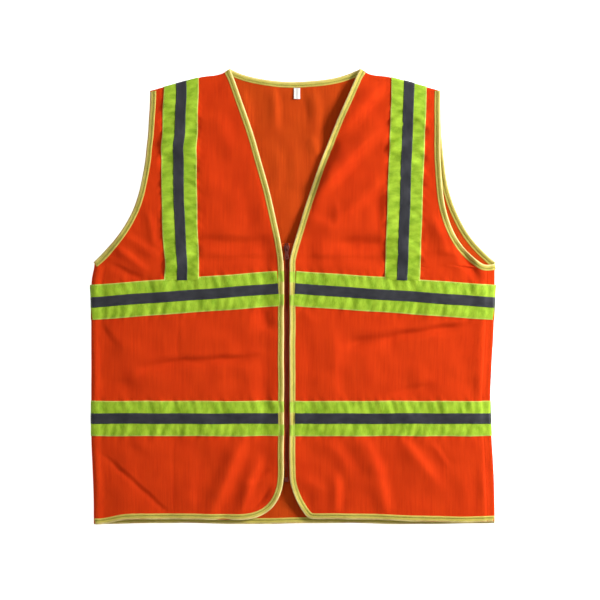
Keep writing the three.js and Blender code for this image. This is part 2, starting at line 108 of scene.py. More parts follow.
# ---------- Curves ----------
def bezier(points, steps):
    """Points of a quadratic or cubic Bezier curve, ends included."""
    t = np.linspace(0, 1, steps + 1)[:, None]
    order = len(points) - 1
    weights = [math.comb(order, k) * t**k * (1 - t) ** (order - k) for k in range(order + 1)]
    return sum(w * np.array(p, float) for w, p in zip(weights, points))


def run_lengths(path):
    """The distance along a path at each of its points."""
    return np.r_[0, np.cumsum(np.linalg.norm(np.diff(path, axis=0), axis=1))]


def units(vectors):
    return vectors / np.linalg.norm(vectors, axis=1)[:, None]


def headings(path):
    """The direction of a path at each of its points."""
    return units(np.gradient(path, axis=0))


def leftward(headings):
    """Square to each heading in plan, to its left."""
    return np.stack([-headings[:, 1], headings[:, 0]], 1)


def resampled(path, step):
    """The path's points at even distances, about step apart."""
    lengths = run_lengths(path)
    at = np.linspace(0, lengths[-1], max(2, int(round(lengths[-1] / step)) + 1))
    return np.stack([np.interp(at, lengths, path[:, k]) for k in range(path.shape[1])], axis=1)


def softened(path, rounds):
    """The path with its corners eased and its ends kept."""
    path = path.copy()
    for _ in range(rounds):
        path[1:-1] = (path[:-2] + 2 * path[1:-1] + path[2:]) / 4
    return path


def neck_point(sign):
    """Where the neck and the shoulder meet. sign is -1 on the right and 1 on the left."""
    return np.array([MIDDLE_X + sign * NECK_WIDTH / 2, NECK_Y])


def shoulder_point(sign):
    return np.array([MIDDLE_X + sign * SHOULDER_SPAN / 2, SHOULDER_Y])


def edge_x(sign):
    """Where a front's cloth ends, inside its binding."""
    return ZIP_X + sign * (EDGE_GAP + BINDING_REACH)


def back_armhole(sign):
    """From the shoulder end down to the underarm."""
    x, y = shoulder_point(sign)
    under_x = sign * FOLD_X
    high = (x + sign, y - ARMHOLE_DEPTH / 2)
    low = (x + 0.14 * (under_x - x), UNDERARM_Y + 0.22 * ARMHOLE_DEPTH)
    return bezier([(x, y), high, low, (under_x, UNDERARM_Y)], 80)


def front_armhole(sign):
    """As the back's on the right. On the left it runs inside the back's, down to the side seam."""
    if sign < 0:
        return back_armhole(sign)
    x, y = shoulder_point(sign)
    seam = (FOLD_X - SEAM_INSET, UNDERARM_Y - UNDERARM_DIP)
    high = (x - 2, y - 0.56 * ARMHOLE_DEPTH)
    low = (x - 5, seam[1] + 0.18 * ARMHOLE_DEPTH)
    return bezier([(x, y), high, low, seam], 80)


def front_edge(name):
    """From the neck point down the V and the front edge, round the corner and along the hem to the fold."""
    sign = SIDES[name]
    neck, inner = neck_point(sign), edge_x(sign)
    across, up, pull = CORNER[name]
    hem = HEM_Y["front"]
    bow = ((neck[0] + inner) / 2 - 2 * sign * NECKLINE_BULGE, (NECK_Y + VEE_Y) / 2)
    vee = bezier([neck, bow, (inner, VEE_Y)], 60)
    low = hem + (0.5 * up if pull else 0)
    turn = bezier([(inner, hem + up), (inner + sign * pull, low), (inner + sign * across, hem)], 30)
    return softened(resampled(np.vstack([vee, turn, [(sign * FOLD_X, hem)]]), 3), 6 if pull else 12)


def back_neck():
    """The shallow curve of the back's neck, from right to left."""
    right, left = neck_point(-1), neck_point(1)
    depth, handle = NECK_DROP * 1.33, NECK_WIDTH / 4
    return bezier([right, (right[0] + handle, NECK_Y - depth), (left[0] - handle, NECK_Y - depth), left], 60)


# ---------- How the cloth lies ----------
def smooth(t):
    t = np.clip(t, 0, 1)
    return t * t * (3 - 2 * t)


def bell(offset, width):
    """1 where the offset is 0, dying away smoothly on both sides."""
    return np.exp(-((offset / width) ** 2))


def rolled(distance):
    """0 at a fold's edge and 1 past its roll, on a quarter circle."""
    t = 1 - np.clip(distance / SEAM_ROLL, 0, 1)
    return np.sqrt(np.maximum(0, 1 - t * t))


def ripple(s, phase=0.0):
    """An uneven wave along a seam, from -1 to 1."""
    slow = 1.4 * np.sin(s / 31 + phase)
    return 0.55 * np.sin(s / 2.3 + slow + phase) + 0.45 * np.sin(s / 4.1 - slow + 2 * phase)


def shoulder_line(x):
    along = (np.abs(x - MIDDLE_X) - NECK_WIDTH / 2) / ((SHOULDER_SPAN - NECK_WIDTH) / 2)
    return NECK_Y - SHOULDER_DROP * along


# Folds in the fronts, each from one point to another, with its half width and height. Valleys are negative.
FRONT_FOLDS = [
    # left chest: soft rolls from the V up to the shoulder, and a hollow above the chest tape
    ((62, 238), (128, 300), 10, 3.8),
    ((35, 152), (118, 234), 10, 5.0),
    ((68, 118), (128, 166), 9, 3.0),
    ((60, 134), (62, 100), 6, 0.9),
    ((60, 73), (140, 73), 10, -4.0),
    ((15, 52), (130, 52), 5, -1.2),
    ((118, 90), (126, 160), 7, -1.3),
    ((2, 96), (62, 230), 10, -3.6),
    ((46, 204), (58, 222), 8, -1.6),
    ((28, 108), (56, 96), 7, 1.2),
    # right chest
    ((-112, 262), (-92, 196), 11, 0.5),
    ((-128, 214), (-118, 150), 12, 0.8),
    ((-60, 184), (-36, 104), 8, 1.1),
    ((-140, 76), (-30, 76), 9, -3.0),
    ((-134, 52), (-40, 54), 5, -1.0),
    ((-76, 122), (-62, 96), 13, -1.0),
    # underarms
    ((-252, 68), (-214, 38), 5, 1.8),
    ((-238, 84), (-196, 58), 6, 1.6),
    ((-262, 44), (-215, 24), 4, -1.4),
    ((-206, 118), (-196, 70), 5, 1.2),
    ((196, 110), (222, 52), 8, 2.2),
    ((214, 100), (238, 42), 6, 1.8),
    ((238, 70), (262, 28), 6, -2.4),
    ((200, 58), (250, 50), 5, -1.0),
    # right belly: a pressed crease crossed by a soft valley
    ((-274, -44), (-250, -72), 5, -0.8),
    ((-163, -40), (-163, -92), 1.8, -0.5),
    ((-214, -104), (-166, -94), 7, -3.0),
    ((-170, -94), (-60, -88), 5, -2.8),
    ((-276, -124), (-222, -134), 13, -2.0),
    ((-104, -114), (-62, -99), 7, 1.0),
    ((-46, -20), (-40, -46), 10, -2.6),
    # left belly
    ((78, -70), (150, -58), 8, -3.0),
    ((140, -57), (244, -42), 5, -3.2),
    ((148, -139), (198, -126), 6, -1.5),
    ((172, -96), (196, -122), 8, 0.4),
    ((56, -66), (60, -140), 8, 1.0),
    ((14, -24), (30, -40), 8, 1.2),
    # right skirt
    ((-264, -232), (-186, -303), 3.2, -1.2),
    ((-170, -205), (-170, -300), 1.8, -0.5),
    ((-206, -232), (-236, -214), 8, -0.8),
    ((-150, -252), (-146, -302), 9, 1.2),
    ((-115, -300), (-72, -205), 10, 4.4),
    ((-75, -304), (-50, -236), 6.5, 2.8),
    ((-62, -263), (-36, -250), 4, -1.6),
    ((-58, -302), (-32, -274), 4.5, -1.7),
    # left skirt
    ((52, -212), (80, -248), 9, 1.4),
    ((14, -262), (44, -282), 11, 1.5),
    ((60, -256), (61, -305), 7, 2.6),
    ((100, -205), (118, -248), 10, 2.5),
    ((116, -240), (131, -304), 10, 2.5),
    ((152, -204), (204, -262), 9, 2.8),
    ((200, -210), (222, -240), 4, 0.9),
]
FOLD_GAIN = 1.35  # the folds stand this many times their listed heights
BACK_FOLDS = [
    ((-72, 288), (-64, 236), 8, 1.6),
    ((-28, 292), (-24, 240), 6, 1.8),
    ((14, 290), (21, 250), 5.5, -0.7),
    ((29, 292), (34, 226), 8, 1.6),
    ((26, 226), (30, 204), 6, 1.2),
    ((-24, 206), (-22, 150), 9, 1.2),
    ((2, 190), (-8, 120), 10, 1.0),
]


def folds(x, y, creases):
    """The height that soft folds add: each is a rounded ridge, steeper towards +X, with a hollow there."""
    height = np.zeros(np.broadcast(x, y).shape)
    for (x1, y1), (x2, y2), half, rise in creases:
        length = math.hypot(x2 - x1, y2 - y1)
        ux, uy = (x2 - x1) / length, (y2 - y1) / length
        along = (x - x1) * ux + (y - y1) * uy
        across = (y - y1) * ux - (x - x1) * uy
        across = across * (1 if 0.3 * ux - uy > 0 else -1)
        ends = smooth((along / length + 0.25) * 2) * smooth((1.25 - along / length) * 2)
        bent = across - 0.15 * half * np.sin(along / (1.7 * half))
        wide = half * np.where(bent < 0, 1.45, 0.9)
        ridge = bell(bent, wide) - 0.2 * bell(bent - 1.6 * half, half)
        height = height + FOLD_GAIN * rise * ends * ridge
    return height


def back_bands():
    """The two ends of the middle line of each tape across the back, by name."""
    rows = {}
    for name in ("chest", "waist"):
        low, high = box(f"{name}_tape_back")
        y = (low[1] + high[1]) / 2
        rows[name] = ((-FOLD_X, y), (FOLD_X, y))
    return rows


def front_bands():
    """The two ends of the middle line of each tape across a front, by name and side."""
    rows = {}
    for side, sign in SIDES.items():
        x_in = edge_x(sign) + sign * (BINDING_WIDTH - TAPE_UNDER_BINDING)
        for name in ("chest", "waist"):
            y_out = box(f"{name}_tape_{side}_side")[0][1] + TAPE_WIDTH / 2
            y_in = box(f"{name}_tape_{side}_flap")[1][1] - TAPE_WIDTH / 2
            rows[name, side] = ((sign * FOLD_X, y_out), (x_in, y_in))
    return rows


def shoulder_band(side, face):
    """The middle line of a shoulder tape, from the shoulder fold down to the chest tape."""
    low, high = box(f"shoulder_tape_{face}_{side}")
    sign = SIDES[side]
    half = TAPE_WIDTH / 2
    outer = high[0] - half if sign > 0 else low[0] + half
    inner = low[0] + half if sign > 0 else high[0] - half
    top = (outer, float(shoulder_line(outer)))
    return top, (inner if face == "front" else outer, low[1] - 1.5)


def gathered(along, off, width, phase, slant=0.35):
    """Ripples that the stitching pulls across a tape and the cloth beside it, different in its two halves."""
    half = width / 2
    height = 0
    for k, edge in enumerate((-1, 1)):
        reach = bell(off - edge * 0.72 * half, 0.42 * half)
        lean = along + edge * slant * off
        height = height + reach * (ripple(1.1 * lean, phase + 2.1 * k) + 0.5 * ripple(0.45 * lean, phase + k))
    return height


# How a shoulder tape twists: the length of one twist, where it leans most to the right, and how steeply.
TAPE_TWISTS = {"right": (58, 141, 0.2), "left": (37, 165, 0.17)}
PUCKER = 1.15  # height of the gathers at the cross tapes


def puckers(x, y):
    """Small gathers where the tapes are stitched down to the front."""
    height = np.zeros(np.broadcast(x, y).shape)
    for (name, side), ((x1, y1), (x2, y2)) in front_bands().items():
        middle = y1 + (y2 - y1) * (x - x1) / (x2 - x1)
        here = (np.sign(x - ZIP_X) == SIDES[side]).astype(float)
        height = height + PUCKER * here * gathered(x, y - middle, TAPE_WIDTH, len(name) + SIDES[side])
    for side in SIDES:
        (x1, y1), (x2, y2) = shoulder_band(side, "front")
        middle = x1 + (x2 - x1) * (y - y1) / (y2 - y1)
        here = smooth((y1 - 12 - y) / 20) * smooth((y - y2 + 4) / 10)  # dies away at the tape's ends
        across = x - middle
        run, turned_at, slope = TAPE_TWISTS[side]
        twist = slope * across * np.cos(2 * math.pi * (y - turned_at - 0.45 * across) / run)
        near = np.exp(-((across / (0.5 * TAPE_WIDTH)) ** 6)) * (0.7 + 0.3 * np.sin(y / 27))
        height = height + here * (gathered(y, across, TAPE_WIDTH, 3.0 + SIDES[side], 0.9) + near * twist)
    return height


def strayed(x, y, front):
    """How far the laid vest strays from the plan of its cut: its sides waver, and its front hem sags."""
    outward = smooth((np.abs(x) - 110) / 160)
    left_side = -6.5 * bell(y + 150, 90)
    right_side = 4.5 * bell(y - 46, 17) + 3.5 * smooth((-190 - y) / 110)
    dx = outward * np.where(x > 0, left_side, right_side)
    near_hem = smooth((-250 - y) / 60)
    dy = near_hem * 0.8 * np.sin(x / 37)
    from_neck = np.abs(x - MIDDLE_X) - NECK_WIDTH / 2
    near_top = smooth((y - shoulder_line(x) + 30) / 25)
    dy = dy - 4.0 * near_top * smooth(from_neck / 9) * bell(from_neck - 14, 18)
    if front:
        dy = dy - near_hem * (4.0 * smooth((x - 110) / 160) + 6.0 * smooth((-238 - x) / 45))
        on_right_tape = bell(x + 163, 42)
        for y_most, reach, shift in ((30, 40, 2.1), (170, 55, -2.8), (290, 22, 1.8), (211, 12, -1.6)):
            dx = dx + on_right_tape * shift * bell(y - y_most, reach)
    return dx, dy


def crumpled(x, y, phase):
    """Slight unevenness all over the cloth."""
    height = 0
    for k, (run, turn) in enumerate(((83, 0.3), (57, 1.2), (44, -0.5), (31, 0.8))):
        along = (x * math.cos(turn) + y * math.sin(turn)) / run
        across = (y * math.cos(turn) - x * math.sin(turn)) / (1.9 * run)
        height = height + run * 0.006 * np.sin(2 * math.pi * along + phase + 1.5 * np.sin(across * 5 + k))
    return height


def side_rolls(x, y):
    """The springy side folds: a low roll at the right fold, and one over the left seam, beside a groove."""
    below = smooth((UNDERARM_Y - y) / 10)
    from_seam = x - (FOLD_X - SEAM_INSET)
    worn = 0.45 + 0.55 * bell(y + 110, 45) + 0.5 * bell(y + 268, 30)
    flank = np.where(from_seam < -1, 11 + 3 * np.sin(y / 19), 6)
    left = worn * 3.2 * bell(from_seam + 1, flank)
    groove = -0.5 * bell(from_seam - 3.5, 0.9)
    right = 2.4 * bell(x + FOLD_X - 6, 6)
    return below * (left + groove + right * (0.75 + 0.25 * np.sin(y / 23)))


def edge_rolls(x, y):
    """Beside the zip the cloth sinks a little before it rises to the bound edge."""
    from_edge = np.abs(x - ZIP_X) - EDGE_GAP
    below = smooth((VEE_Y + 60 - y) / 80)
    depth = np.where(x < ZIP_X, 3.2, 1.8) * (0.8 + 0.3 * np.sin(y / 31))
    return -below * depth * bell(from_edge - 28, 13)


ROLL_RISE = 1.9  # how far the front rises in the roll itself
LOOSE_FROM = 25  # the cloth is held flat nearer than this to the side and shoulder folds


def front_level(x, y):
    """The middle of the front cloth."""
    from_side = FOLD_X - np.abs(x)
    from_shoulder = shoulder_line(x) - y
    roll = rolled(from_side) * rolled(from_shoulder)
    lift = smooth(from_side / SIDE_EASE) * smooth(from_shoulder / SHOULDER_EASE)
    free = smooth(from_side / LOOSE_FROM) * smooth(from_shoulder / LOOSE_FROM)
    loose = free * (folds(x, y, FRONT_FOLDS) + puckers(x, y) + edge_rolls(x, y) + crumpled(x, y, 1.0))
    loose = loose + rolled(from_side / 2) * side_rolls(x, y)
    return SEAM_Z + ROLL_RISE * roll + (OPEN_Z - SEAM_Z - ROLL_RISE) * lift + loose


def back_level(x, y):
    """The middle of the back cloth, which curls up to meet the front at the side and shoulder folds."""
    from_side = FOLD_X - np.abs(x)
    from_shoulder = shoulder_line(x) - y
    roll = rolled(from_side) * rolled(from_shoulder)
    inner = smooth((from_shoulder - 12) / 20)
    loose = inner * (1.0 + folds(x, y, BACK_FOLDS) + 0.8 * crumpled(x, y, 3.0))
    return SEAM_Z + (BACK_Z - SEAM_Z) * roll + loose


def placed(x, y, off, level, front):
    """Points off the cloth's middle, turned outwards where it rolls over the side and shoulder folds."""
    side, top = rolled(FOLD_X - np.abs(x)), rolled(shoulder_line(x) - y)
    out = 0.8 * np.abs(off)
    dx, dy = strayed(x, y, front)
    return np.stack(
        [x + dx + np.sign(x) * out * (1 - side), y + dy + out * (1 - top), level + off * side * top], -1
    )


def on_front(x, y, off):
    """A point this far outside the front cloth's middle, square to it where the cloth rolls over a fold."""
    return placed(x, y, off, front_level(x, y), True)


def on_back(x, y, off):
    """As on_front, for the back cloth: off is positive towards the inside of the vest."""
    return placed(x, y, off, back_level(x, y), False)


# ---------- Materials ----------
def srgb(red, green, blue):
    """A colour given as on a screen, 0 to 255, in linear light."""
    shares = [c / 255 for c in (red, green, blue)]
    return (*[c / 12.92 if c <= 0.04045 else ((c + 0.055) / 1.055) ** 2.4 for c in shares], 1)


WHITE = (1, 1, 1, 1)
BLACK = (0, 0, 0, 1)


class Shader:
    """A principled material and short calls for its nodes."""

    def __init__(self, name, roughness, metallic=0.0, sheen=0.0, sheen_tint=None, specular=0.3):
        self.material = bpy.data.materials.new(name)
        self.material.use_nodes = True
        self.nodes = self.material.node_tree.nodes
        self.links = self.material.node_tree.links
        self.surface = self.nodes["Principled BSDF"]
        for key, value in (
            ("Roughness", roughness),
            ("Metallic", metallic),
            ("Sheen Weight", sheen),
            ("Specular IOR Level", specular),
            ("Sheen Tint", sheen_tint or WHITE),
        ):
            self.surface.inputs[key].default_value = value
        self.place = self.nodes.new("ShaderNodeUVMap")
        self.place.uv_map = "Cloth"

    def link(self, source, target):
        self.links.new(source, target)

    def scaled(self, x, y):
        """The cloth's own coordinates in mm times (x, y)."""
        node = self.nodes.new("ShaderNodeMapping")
        node.inputs["Scale"].default_value = (x, y, 1)
        self.link(self.place.outputs["UV"], node.inputs["Vector"])
        return node.outputs["Vector"]

    def wave(self, x, y, direction):
        """Ridges across the cloth: one each 1/x mm across, or each 1/y mm along."""
        node = self.nodes.new("ShaderNodeTexWave")
        node.bands_direction = direction
        node.inputs["Scale"].default_value = 0.31831  # 1 / pi, so that one ridge takes a length of pi
        self.link(self.scaled(x * math.pi, y * math.pi), node.inputs["Vector"])
        return node.outputs["Fac"]

    def noise(self, x, y, detail=3):
        node = self.nodes.new("ShaderNodeTexNoise")
        node.inputs["Scale"].default_value = 1
        node.inputs["Detail"].default_value = detail
        self.link(self.scaled(x, y), node.inputs["Vector"])
        return node.outputs["Fac"]

    def math(self, operation, a, b):
        node = self.nodes.new("ShaderNodeMath")
        node.operation = operation
        for socket, value in zip(node.inputs, (a, b)):
            if isinstance(value, (int, float)):
                socket.default_value = value
            else:
                self.link(value, socket)
        return node.outputs[0]

    def total(self, *parts):
        """The sum of pairs of a value and what it counts for."""
        terms = [self.math("MULTIPLY", value, weight) for value, weight in parts]
        first, *others = terms
        for term in others:
            first = self.math("ADD", first, term)
        return first

    def ramp(self, factor, *stops):
        """Colours at places along 0 to 1."""
        node = self.nodes.new("ShaderNodeValToRGB")
        elements = node.color_ramp.elements
        while len(elements) < len(stops):
            elements.new(0.5)
        for element, (place, colour) in zip(elements, stops):
            element.position = place
            element.color = colour
        self.link(factor, node.inputs["Fac"])
        return node.outputs["Color"]

    def mixed(self, factor, a, b, blend="MIX"):
        node = self.nodes.new("ShaderNodeMix")
        node.data_type = "RGBA"
        node.blend_type = blend
        for key, value in (("Factor", factor), ("A", a), ("B", b)):
            socket = next(s for s in node.inputs if s.name == key and s.enabled)
            if isinstance(value, (int, float, tuple)):
                socket.default_value = value
            else:
                self.link(value, socket)
        return next(s for s in node.outputs if s.enabled)

    def across(self):
        """The V coordinate: how far a place is from a tape's middle or from a bound edge, in mm."""
        node = self.nodes.new("ShaderNodeSeparateXYZ")
        self.link(self.place.outputs["UV"], node.inputs["Vector"])
        return node.outputs["Y"]

    def colour(self, output):
        self.link(output, self.surface.inputs["Base Color"])

    def bump(self, height, distance, strength=1.0):
        node = self.nodes.new("ShaderNodeBump")
        node.inputs["Distance"].default_value = distance * MM
        node.inputs["Strength"].default_value = strength
        self.link(height, node.inputs["Height"])
        self.link(node.outputs["Normal"], self.surface.inputs["Normal"])


WALE, COURSE = 2.1, 1.5  # the knit's upright ribs and its rows of stitches, in mm


def knit(name, light, dark, opening_shade):
    """Warp-knit mesh: upright wales, small stitches, tiny openings painted dark as shade, and long uneven
    streaks.
    """
    shader = Shader(name, 0.88, sheen=0.04, sheen_tint=light, specular=0.08)
    wales = shader.wave(1 / WALE, 0, "X")
    stitches = shader.wave(0, 1 / COURSE, "Y")
    streaks = shader.noise(0.55, 0.022, 4)
    cloudy = shader.noise(0.03, 0.02, 3)
    fuzz = shader.noise(2.5, 2.5, 2)
    between = [shader.math("SUBTRACT", 1, ridges) for ridges in (wales, stitches)]
    open_here = shader.math("MULTIPLY", *between)
    base = shader.ramp(shader.total((streaks, 0.7), (cloudy, 0.3)), (0.3, dark), (0.68, light))
    # The openings are painted dark: shade that falls into them.
    holes = shader.ramp(open_here, (0.25, BLACK), (0.85, (0.9, 0.9, 0.9, 1)))
    shader.colour(shader.mixed(holes, base, opening_shade))
    shader.bump(shader.total((wales, 0.7), (stitches, 0.45), (fuzz, 0.35)), 0.22, 0.8)
    return shader.material


def woven(name, light, dark, warp, weft, roughness=0.6, edge=None):
    """Plain woven tape with a fine weave and slightly uneven colour; edge is the colour of a painted highlight
    along both its edges.
    """
    shader = Shader(name, roughness, sheen=0.05, sheen_tint=light, specular=0.16)
    across = shader.wave(1 / warp, 0, "X")
    along = shader.wave(0, 1 / weft, "Y")
    threads = shader.math("MULTIPLY", shader.math("ADD", across, along), 0.5)
    cloudy = shader.noise(0.11, 0.05, 4)
    base = shader.ramp(shader.total((cloudy, 0.75), (threads, 0.25)), (0.34, dark), (0.66, light))
    if edge:
        base = painted_edge_highlight(shader, base, edge)
    shader.colour(base)
    shader.bump(shader.total((threads, 1), (shader.noise(3, 3, 2), 0.3)), 0.12, 0.7)
    return shader.material


# Width of the painted highlight along a tape's edges, in mm.
EDGE_HIGHLIGHT_WIDTH = 1.1


def painted_edge_highlight(shader, base, edge):
    """Mixes in the edge colour along both edges of a tape, unevenly: a painted highlight."""
    from_middle = shader.math("ABSOLUTE", shader.across(), 0)
    near = shader.math("GREATER_THAN", from_middle, TAPE_WIDTH / 2 - EDGE_HIGHLIGHT_WIDTH)
    uneven = shader.math("MULTIPLY", shader.noise(0.08, 0.5, 2), 0.8)
    return shader.mixed(shader.math("MULTIPLY", near, uneven), base, edge)


def folded_binding(name, fold, main, groove, over_tape):
    """Folded edge tape: a painted highlight on its outer fold, painted shade in its stitched groove, and
    greener over the tapes.
    """
    shader = Shader(name, 0.55, sheen=0.05, sheen_tint=fold, specular=0.15)
    place = shader.math("DIVIDE", shader.across(), BINDING_WIDTH)
    uneven = shader.math("MULTIPLY", shader.math("SUBTRACT", shader.noise(0.16, 0.2, 3), 0.5), 0.22)
    # The pale fold colour is a painted highlight and the groove colour painted shade.
    across = shader.ramp(
        shader.math("ADD", place, uneven),
        (0.0, fold), (0.17, fold), (0.3, main), (0.52, main),
        (0.62, groove), (0.7, groove), (0.8, main), (1.0, main),
    )
    crossing = shader.nodes.new("ShaderNodeAttribute")
    crossing.attribute_name = "over_tape"
    sheer = shader.math("MULTIPLY", crossing.outputs["Fac"], 0.75)
    across = shader.mixed(sheer, across, over_tape)
    threads = shader.wave(1 / 0.9, 0, "X")
    worn = shader.noise(0.09, 0.3, 3)
    tint = shader.ramp(shader.total((threads, 0.4), (worn, 0.9)), (0.25, (0.74, 0.76, 0.62, 1)), (0.85, WHITE))
    shader.colour(shader.mixed(1.0, across, tint, "MULTIPLY"))
    shader.bump(shader.math("ADD", threads, shader.noise(1.2, 1.2, 2)), 0.1, 0.6)
    return shader.material


def reflective(name):
    """Glass-bead tape: dark grey seen from the side of its light, with a fine grain and faint ribs."""
    shader = Shader(name, 0.5, metallic=0.15, specular=0.3)
    grain = shader.noise(3.5, 3.5, 3)
    cloudy = shader.noise(0.05, 0.12, 3)
    tone = shader.total((grain, 0.45), (cloudy, 0.55))
    shader.colour(shader.ramp(tone, (0.3, srgb(34, 35, 40)), (0.7, srgb(58, 58, 63))))
    ribs = shader.wave(1 / 1.6, 1 / 1.6, "DIAGONAL")
    shader.bump(shader.total((ribs, 0.4), (grain, 1)), 0.06, 0.6)
    return shader.material


def moulded(name, light, dark, roughness, metallic=0.0):
    """Painted metal or nylon, with faint unevenness."""
    shader = Shader(name, roughness, metallic=metallic, specular=0.5)
    shader.colour(shader.ramp(shader.noise(0.8, 0.8, 4), (0.35, dark), (0.68, light)))
    shader.bump(shader.noise(4, 4, 3), 0.05, 0.5)
    return shader.material


def thread(name, colour, shade):
    """Twisted sewing thread, painted darker in the grooves of its twist as shade."""
    shader = Shader(name, 0.55, sheen=0.1, specular=0.35)
    twist = shader.wave(1 / 0.6, 1 / 0.6, "DIAGONAL")
    shader.colour(shader.ramp(twist, (0.0, shade), (1.0, colour)))
    shader.bump(twist, 0.08, 0.7)
    return shader.material


# The third colour of each knit is painted shade in its openings.
ORANGE = knit("orange_knit", srgb(228, 66, 13), srgb(208, 52, 8), srgb(146, 26, 3))
ORANGE_INSIDE = knit("orange_knit_inside", srgb(214, 78, 16), srgb(194, 62, 10), srgb(140, 38, 5))
# The lime tape's edge colour is a painted highlight along its edges.
LIME = woven("lime_tape", srgb(174, 208, 52), srgb(112, 152, 14), 0.9, 0.7, edge=srgb(232, 230, 132))
STRIPE = reflective("reflective_stripe")
# Its first colour is a painted highlight on the outer fold, and its third painted shade in the stitched
# groove.
BINDING = folded_binding("edge_binding", srgb(238, 217, 143), srgb(208, 191, 91), srgb(154, 147, 49),
                         srgb(158, 206, 52))
ZIP_TAPE = woven("zip_tape_cloth", srgb(214, 76, 12), srgb(168, 48, 6), 0.8, 1.2, roughness=0.8)
NYLON = moulded("zip_nylon", srgb(168, 54, 12), srgb(116, 28, 6), 0.7)
METAL = moulded("zip_metal", srgb(116, 40, 20), srgb(78, 22, 9), 0.5, 0.15)
LABEL = woven("label_cloth", srgb(240, 238, 232), srgb(222, 220, 214), 0.5, 0.5, roughness=0.7)
# The second colour of each thread is painted shade in the grooves of its twist.
LIME_THREAD = thread("lime_thread", srgb(214, 228, 110), srgb(150, 168, 40))
GREY_THREAD = thread("grey_thread", srgb(104, 108, 108), srgb(58, 60, 62))
BINDING_THREAD = thread("binding_thread", srgb(214, 206, 120), srgb(132, 132, 40))
ORANGE_THREAD = thread("orange_thread", srgb(232, 96, 36), srgb(170, 46, 10))


# ---------- Meshes ----------
def paired(a, b):
    """Two arrays spread over each other, as pairs along a last axis."""
    return np.stack(np.broadcast_arrays(a, b), -1)


def swept(centres, across, up, section):
    """Rings round the centres: each pair of the section is laid off along across and up."""
    along_both = section[..., :1] * across[..., None, :] + section[..., 1:] * up[..., None, :]
    return centres[..., None, :] + along_both


def added(name, mesh, uv, material):
    """Gives a mesh in metres its cloth coordinates and material, and puts it in the scene."""
    corners = np.empty(len(mesh.loops), int)
    mesh.loops.foreach_get("vertex_index", corners)
    layer = mesh.uv_layers.new(name="Cloth")
    layer.data.foreach_set("uv", uv.reshape(-1, 2)[corners].ravel().astype(np.float32))
    mesh.materials.append(material)
    made = bpy.data.objects.new(name, mesh)
    bpy.context.collection.objects.link(made)
    return made


def smoothed(mesh):
    mesh.polygons.foreach_set("use_smooth", np.ones(len(mesh.polygons), bool))
    mesh.update()


def mesh_object(name, points, faces, uv, material):
    """A smooth surface through points in mm."""
    mesh = bpy.data.meshes.new(name)
    mesh.from_pydata((points.reshape(-1, 3) * MM).tolist(), [], faces.tolist())
    smoothed(mesh)
    return added(name, mesh, uv, material)


def grid(name, points, uv, material, wrap=False):
    """A sheet through rows of points. With wrap, each row closes on itself and the ends are capped."""
    rows, columns = points.shape[:2]
    index = np.arange(rows * columns).reshape(rows, columns)
    near = index if wrap else index[:, :-1]
    far = np.roll(index, -1, axis=1) if wrap else index[:, 1:]
    faces = np.stack([near[:-1], far[:-1], far[1:], near[1:]], -1).reshape(-1, 4)
    made = mesh_object(name, points, faces, uv, material)
    if wrap:
        cap_ends(made, [index])
    return made


def cap_ends(made, tubes):
    """Closes the first and last ring of each tube, given as rows of vertex numbers."""
    work = bmesh.new()
    work.from_mesh(made.data)
    work.verts.ensure_lookup_table()
    for tube in tubes:
        for ring in (tube[0][::-1], tube[-1]):
            work.faces.new([work.verts[int(i)] for i in ring])
    bmesh.ops.recalc_face_normals(work, faces=work.faces)
    work.to_mesh(made.data)
    work.free()
    made.data.update()


def thicken(made, thickness, inner=None):
    """Gives a sheet its thickness, half on each side, and the face towards the inside its own material."""
    modifier = made.modifiers.new("thickness", "SOLIDIFY")
    modifier.thickness = thickness * MM
    modifier.offset = 0
    if inner:
        made.data.materials.append(inner)
        modifier.material_offset = 1
    return made


def fasten(made, body):
    """Rides on one body, or for a piece of a front, given as ("vest", "right"), keeps its place with its
    transform baked in.
    """
    if isinstance(body, str):
        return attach(made, body)
    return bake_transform(made)


def bending(side):
    """What fasten() takes for a piece of a front."""
    return ("vest", side)


# ---------- Cloth panels ----------
def spaced(length, step, fine, edge):
    """Places from 0 to length: fine within edge of both ends and step between."""
    ends = np.arange(0, edge, fine)
    middle = np.linspace(edge, length - edge, max(2, int((length - 2 * edge) / step)))
    return np.r_[ends, middle, length - ends[::-1]]


FRONT_SPAN, BACK_SPAN = 280, 574  # about how wide a row of each cloth is
PLAIN, CLOSE = 2.6, 0.7  # spacing of the mesh across a front, and near the edges of both cloths


def front_panel(side):
    """A front's cloth: rows from its armhole, shoulder or side fold to its bound edge."""
    sign = SIDES[side]
    armhole, edge = front_armhole(sign), front_edge(side)
    hem = HEM_Y["front"]
    rows_y = hem + spaced(NECK_Y - hem, 2.4, 1, 24)
    outer = np.interp(rows_y, armhole[::-1, 1], np.abs(armhole[::-1, 0]))
    outer[rows_y <= armhole[-1, 1]] = FOLD_X
    top = rows_y > SHOULDER_Y
    ends = np.abs([shoulder_point(sign)[0], neck_point(sign)[0]])
    outer[top] = np.interp(rows_y[top], [SHOULDER_Y, NECK_Y], ends)
    outer_x = sign * outer
    upright = edge[:, 1] > hem + 0.01
    inner_x = np.interp(rows_y, edge[upright][::-1, 1], edge[upright][::-1, 0])
    share = spaced(1, PLAIN / FRONT_SPAN, CLOSE / FRONT_SPAN, 24 / FRONT_SPAN)
    x = outer_x[:, None] + share[None, :] * (inner_x - outer_x)[:, None]
    y = np.repeat(rows_y[:, None], len(share), axis=1)
    if sign > 0:
        x = x[:, ::-1]
    points = on_front(x, y, 0.0)
    made = grid(f"front_{side}_cloth", points, np.stack([x, y], -1), ORANGE)
    thicken(made, CLOTH)
    area = np.trapz(np.abs(inner_x - outer_x), rows_y) * MM * MM
    return made, area, (np.ptp(x) * MM, np.ptp(y) * MM)


